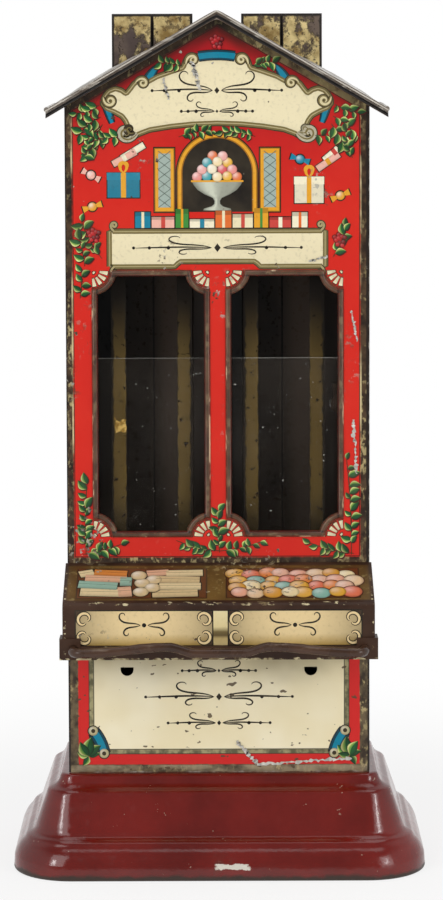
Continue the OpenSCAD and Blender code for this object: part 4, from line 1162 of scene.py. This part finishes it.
goods += [disc(rolls, 2.9, BLACK, 3, 0, 1.05), disc(rolls, 2.6, SAND, 4, 0.45, 1.05)]
sweets = flat_ink("D9A032", "E8D3A2", "E0A184", "D96E4C", "DCA542",
                  "E2BE94", "DB7E34", "7FAE9E", "D29430", "DFAF94")
for row in range(4):
    spots = np.stack([5.4 + 5.2 * np.arange(8) + 1.8 * (row % 2), np.full(8, 16.8 - 3.9 * row)], -1)
    spots = (spots + rng.uniform(-0.8, 0.8, spots.shape))[spots[:, 0] < 43.6]
    tint = sweets[(3 * np.arange(len(spots)) + 4 * row) % len(sweets)]
    size = rng.uniform(2.7, 3.5, len(spots))
    squash = rng.uniform(0.85, 1.05)
    goods += [disc(spots, size + 0.35, SWEET_EDGE, 2 + 2 * row, 0, squash),
              disc(spots, size, tint, 3 + 2 * row, 0.3, squash)]
print_piece("counter_goods_print", goods, sheet=SLOPE_SHEET, body="drawer")

LABEL_LOW, LABEL_HIGH, SCROLL_Z, CURL_SPOT, CURL_R = 79.6, 90.8, 86.2, 2.75, 2.1
label_cream, label_gold, scoop_brown = flat_ink("E4CB98", "B8964F", "3C2A1E")
strip = np.stack(np.meshgrid([-1.7, 2.9], [LABEL_LOW, 81.8, 82.8, 84.0, 85.6, LABEL_HIGH]), -1)
smudge = flat_ink("C2AC78", "B09A66", "5C4C2C", "6E5E38", "D8C692", "E0D0A0")[:, None]
labels = [patch(strip, smudge, 0)]
fade = np.stack([label_gold, label_cream, label_cream, label_cream * 0.95])[:, None]
soiled = np.array([0.5, 0.8, 1.0, 1.04, 1.0, 0.8, 0.5])[:, None]
t = np.linspace(-1, 1, 44)
angle = np.radians(225 + 150 * t)
bow = CURL_R * (1 - 0.5 * t ** 4)
curl = CURL_SPOT + bow[:, None] * ray(angle)
quarter = np.radians(np.linspace(0, 90, 9))
scoop = np.array([0.05, 2.2])[:, None, None] * ray(quarter)
for x0, x1 in ((-46.2, -2.1), (3.3, 46.2)):
    labels.append(box_patch(x0 - 0.4, x1 + 0.4, LABEL_LOW - 0.4, LABEL_HIGH + 0.4, BLACK, 1))
    grid = np.stack(np.meshgrid(np.linspace(x0, x1, 7), np.linspace(LABEL_LOW, LABEL_HIGH, 4)), -1)
    labels.append(patch(grid, fade * soiled, 2))
    for corner, way in (([x0, LABEL_HIGH], [1, -1]), ([x0, LABEL_LOW], [1, 1]),
                        ([x1, LABEL_HIGH], [-1, -1]), ([x1, LABEL_LOW], [-1, 1])):
        labels.append(patch(scoop * way + corner, scoop_brown, 3))
        labels += strokes(curl * way + corner, (taper(44, 1.5, 0.45), BLACK, 4),
                          (taper(44, 0.8, 0.3), label_cream, 5))
    middle = np.array([(x0 + x1) / 2, SCROLL_Z])
    for heading, bends, length in ((25, (-120, 80, 300), 11), (-25, (110, -70, -320), 9)):
        for line in mirrored(pen((1.2, 0), heading, bends, length, 60)):
            labels.append(stroke(line + middle, taper(60, 0.55), BLACK, 3))
    labels.append(disc([middle], 0.7, BLACK, 3, 0))
print_piece("counter_label_print", labels, sheet=LABEL_SHEET, body="drawer")

# Pull bar: a stout wire bent in two waves, its ends turned back through the rail and riveted over behind it.
# It is lacquered brown, worn in patches along its length.

BAR_X, BAR_Y, BAR_Z, BAR_R, BAR_BEND = 47.1, -55.0, 78.5, 1.5, 3.2
WAVE_H, WAVE_START, WAVE_RISE, WAVE_TOP, WAVE_FALL = 2.0, 7.0, 9.5, 16.5, 27.4


def smooth(t):
    """0 to 1 with a level start and end."""
    t = np.clip(t, 0, 1)
    return t * t * (3 - 2 * t)


def bar_mesh():
    """A circle carried along the bar: straight, over a wave on each side, then a quarter turn back."""
    x = np.linspace(0, BAR_X - BAR_BEND, 60)
    wave = WAVE_H * smooth((x - WAVE_START) / WAVE_RISE) * (1 - smooth((x - WAVE_TOP) / WAVE_FALL))
    straight = np.stack([x, np.full(60, BAR_Y), BAR_Z + wave, np.zeros(60)], -1)
    a = np.linspace(0, np.pi / 2, 12)[1:]
    elbow = np.stack([BAR_X - BAR_BEND * (1 - np.sin(a)), BAR_Y + BAR_BEND * (1 - np.cos(a)),
                      BAR_Z + 0 * a, a], -1)
    end = np.array([[BAR_X, COUNTER_Y - 0.1, BAR_Z, np.pi / 2]])
    half = np.concatenate([straight, elbow, end])
    path = np.concatenate([half[:0:-1] * [-1, 1, 1, -1], half])
    turn = np.radians(np.arange(0, 360, 15))
    run = np.arange(len(path))
    radius = BAR_R * (1 + 0.035 * np.sin(run * 0.37) + 0.02 * np.sin(run * 0.9))[:, None]
    points = np.stack([path[:, :1] + radius * np.cos(turn) * np.sin(path[:, 3:]),
                       path[:, 1:2] - radius * np.cos(turn) * np.cos(path[:, 3:]),
                       path[:, 2:3] + radius * np.sin(turn)], -1)
    return points, tube_faces(len(path), len(turn))


bar_brown, place = new_finish("brown_bar_lacquer")
cloud = grain(place, 90, 4)
worn = grain(place, 260, 4, (0.4, 1, 1)).ease(0.6, 0.74)
colour = coats(cloud.ease(0.3, 0.7).mix("332015", "4A3122"), (worn * 0.6, "7C6A5A"))
shade(place, colour, 0.2 + cloud * 0.15, 0.0, cloud * 2 + worn, 0.06, specular=0.35)
bar = make_piece("wavy_pull_bar", *bar_mesh(), "drawer", "brown_print", bar_brown)
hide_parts("pull_bar")

# Stage: pale floor that keeps the shadow near the toy, large soft lamps and the camera of the picture.
# The floor turns to plain white further out, for the camera, for reflections and through the pane.


def ray_kinds(hand):
    """1 for the rays of the camera, of reflections, and of what is seen through the pane."""
    kinds = ("Is Camera Ray", "Is Glossy Ray", "Is Transmission Ray")
    return [hand.add("LightPath", {}, kind) for kind in kinds]


FLOOR_HALF, SHADOW_REACH, FLOOR_GLOW, STEEP = 9, (90, 300), 0.78, 0.99
DIM_POWER, BRIGHT_POWER = 0.3, 1.0
floor_finish, place = new_finish("pale_floor")
x, y = axes(place)[:2]
far = place.sum("SQRT", x * x + y * y, 0.0).ease(*SHADOW_REACH)
camera_ray, glossy_ray, pane_ray = ray_kinds(place)
seen = camera_ray.most(glossy_ray).most(pane_ray) * (FLOOR_GLOW + far * (1 - FLOOR_GLOW))
paper = place.add("BsdfDiffuse", {"Color": (0.97, 0.965, 0.955, 1)})
white = place.add("Emission", {"Color": (1, 1, 1, 1), "Strength": 1.0})
place.add("OutputMaterial", {0: place.add("MixShader", {0: seen, 1: paper, 2: white})})
floor_mesh = bpy.data.meshes.new("floor")
corners = [(-FLOOR_HALF, -FLOOR_HALF, 0), (FLOOR_HALF, -FLOOR_HALF, 0),
           (FLOOR_HALF, FLOOR_HALF, 0), (-FLOOR_HALF, FLOOR_HALF, 0)]
floor_mesh.from_pydata(corners, [], [(0, 1, 2, 3)])
floor_mesh.materials.append(floor_finish)
floor = bpy.data.objects.new("floor", floor_mesh)
bpy.context.scene.collection.objects.link(floor)
floor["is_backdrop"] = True

world = bpy.data.worlds.new("studio")
bpy.context.scene.world = world
world.use_nodes = True
world.node_tree.nodes.clear()
hand = Tone(world.node_tree)
camera_ray, glossy_ray, pane_ray = ray_kinds(hand)
way = hand.add("TexCoord", {}, "Generated")
sideways = abs(hand.add("SeparateXYZ", {0: way}, 0)).ease(0.5, 0.85)
behind = hand.add("SeparateXYZ", {0: way}, 1).ease(0.15, 0.6)
seen = camera_ray.most(glossy_ray * sideways.most(behind) * FLOOR_GLOW).most(pane_ray)
dim = hand.add("Background", {"Color": (1, 1, 1, 1), "Strength": DIM_POWER})
bright = hand.add("Background", {"Color": (1, 1, 1, 1), "Strength": BRIGHT_POWER})
hand.add("OutputWorld", {0: hand.add("MixShader", {0: seen, 1: dim, 2: bright})})


def stand(thing, right, up, ahead, spot):
    """Puts a lamp or a camera at a spot; its axes are its right, its up and the reverse of ahead."""
    turn = np.stack([right, up, np.negative(ahead)], 1)
    thing.matrix_world = Matrix([[*row, part] for row, part in zip(turn, spot)] + [[0, 0, 0, 1]])
    bpy.context.scene.collection.objects.link(thing)


def soft_lamp(name, spot, aim, width, height, power):
    """A rectangular lamp of that size and power at a spot, turned to face its aim; if steep, level with x."""
    data = bpy.data.lights.new(name, "AREA")
    data.shape = "RECTANGLE"
    data.size = width
    data.size_y = height
    data.energy = power
    way = np.subtract(aim, spot) / np.linalg.norm(np.subtract(aim, spot))
    side = np.cross(way, (0, 0, 1)) if abs(way[2]) < STEEP else np.array([1.0, 0, 0])
    side = side / np.linalg.norm(side)
    stand(bpy.data.objects.new(name, data), side, np.cross(side, way), way, spot)


soft_lamp("front_left_lamp", (-0.9, -1.3, 0.9), (0, 0, 0.14), 0.9, 1.2, 9.0)
soft_lamp("front_right_lamp", (1.1, -1.2, 0.6), (0, 0, 0.14), 0.7, 1.2, 5.9)
soft_lamp("left_strip_lamp", (-0.62, -0.72, 0.4), (0, 0, 0.1), 0.08, 0.22, 0.85)
soft_lamp("right_strip_lamp", (0.66, -0.7, 0.4), (0, 0, 0.1), 0.08, 0.22, 0.85)
soft_lamp("top_lamp", (0.1, -0.1, 1.4), (0, 0, 0.1), 1.2, 1.0, 5.5)

CAMERA_SPOT = np.array([1.31, -1016.65, 274.99]) * MM
PITCH, ROLL = np.radians(4.405), np.radians(-0.1986)
FOCAL_PX, SHIFT_PX, LONG_SIDE_PX, SENSOR = 3029.31, -176.47, 900, 36.0
ahead = np.array([0, np.cos(PITCH), -np.sin(PITCH)])
level = np.array([1.0, 0, 0])
upright = np.cross(level, ahead)
right = level * np.cos(ROLL) + upright * np.sin(ROLL)
up = upright * np.cos(ROLL) - level * np.sin(ROLL)
camera_data = bpy.data.cameras.new("picture_camera")
camera_data.sensor_width = SENSOR
camera_data.lens = FOCAL_PX * SENSOR / LONG_SIDE_PX
camera_data.shift_y = SHIFT_PX / LONG_SIDE_PX
camera = bpy.data.objects.new("picture_camera", camera_data)
stand(camera, right, up, ahead, CAMERA_SPOT)
bpy.context.scene.camera = camera
bpy.context.scene.view_settings.view_transform = "Standard"

# Size: the box round every part that is shown, the floor left out.

low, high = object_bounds()
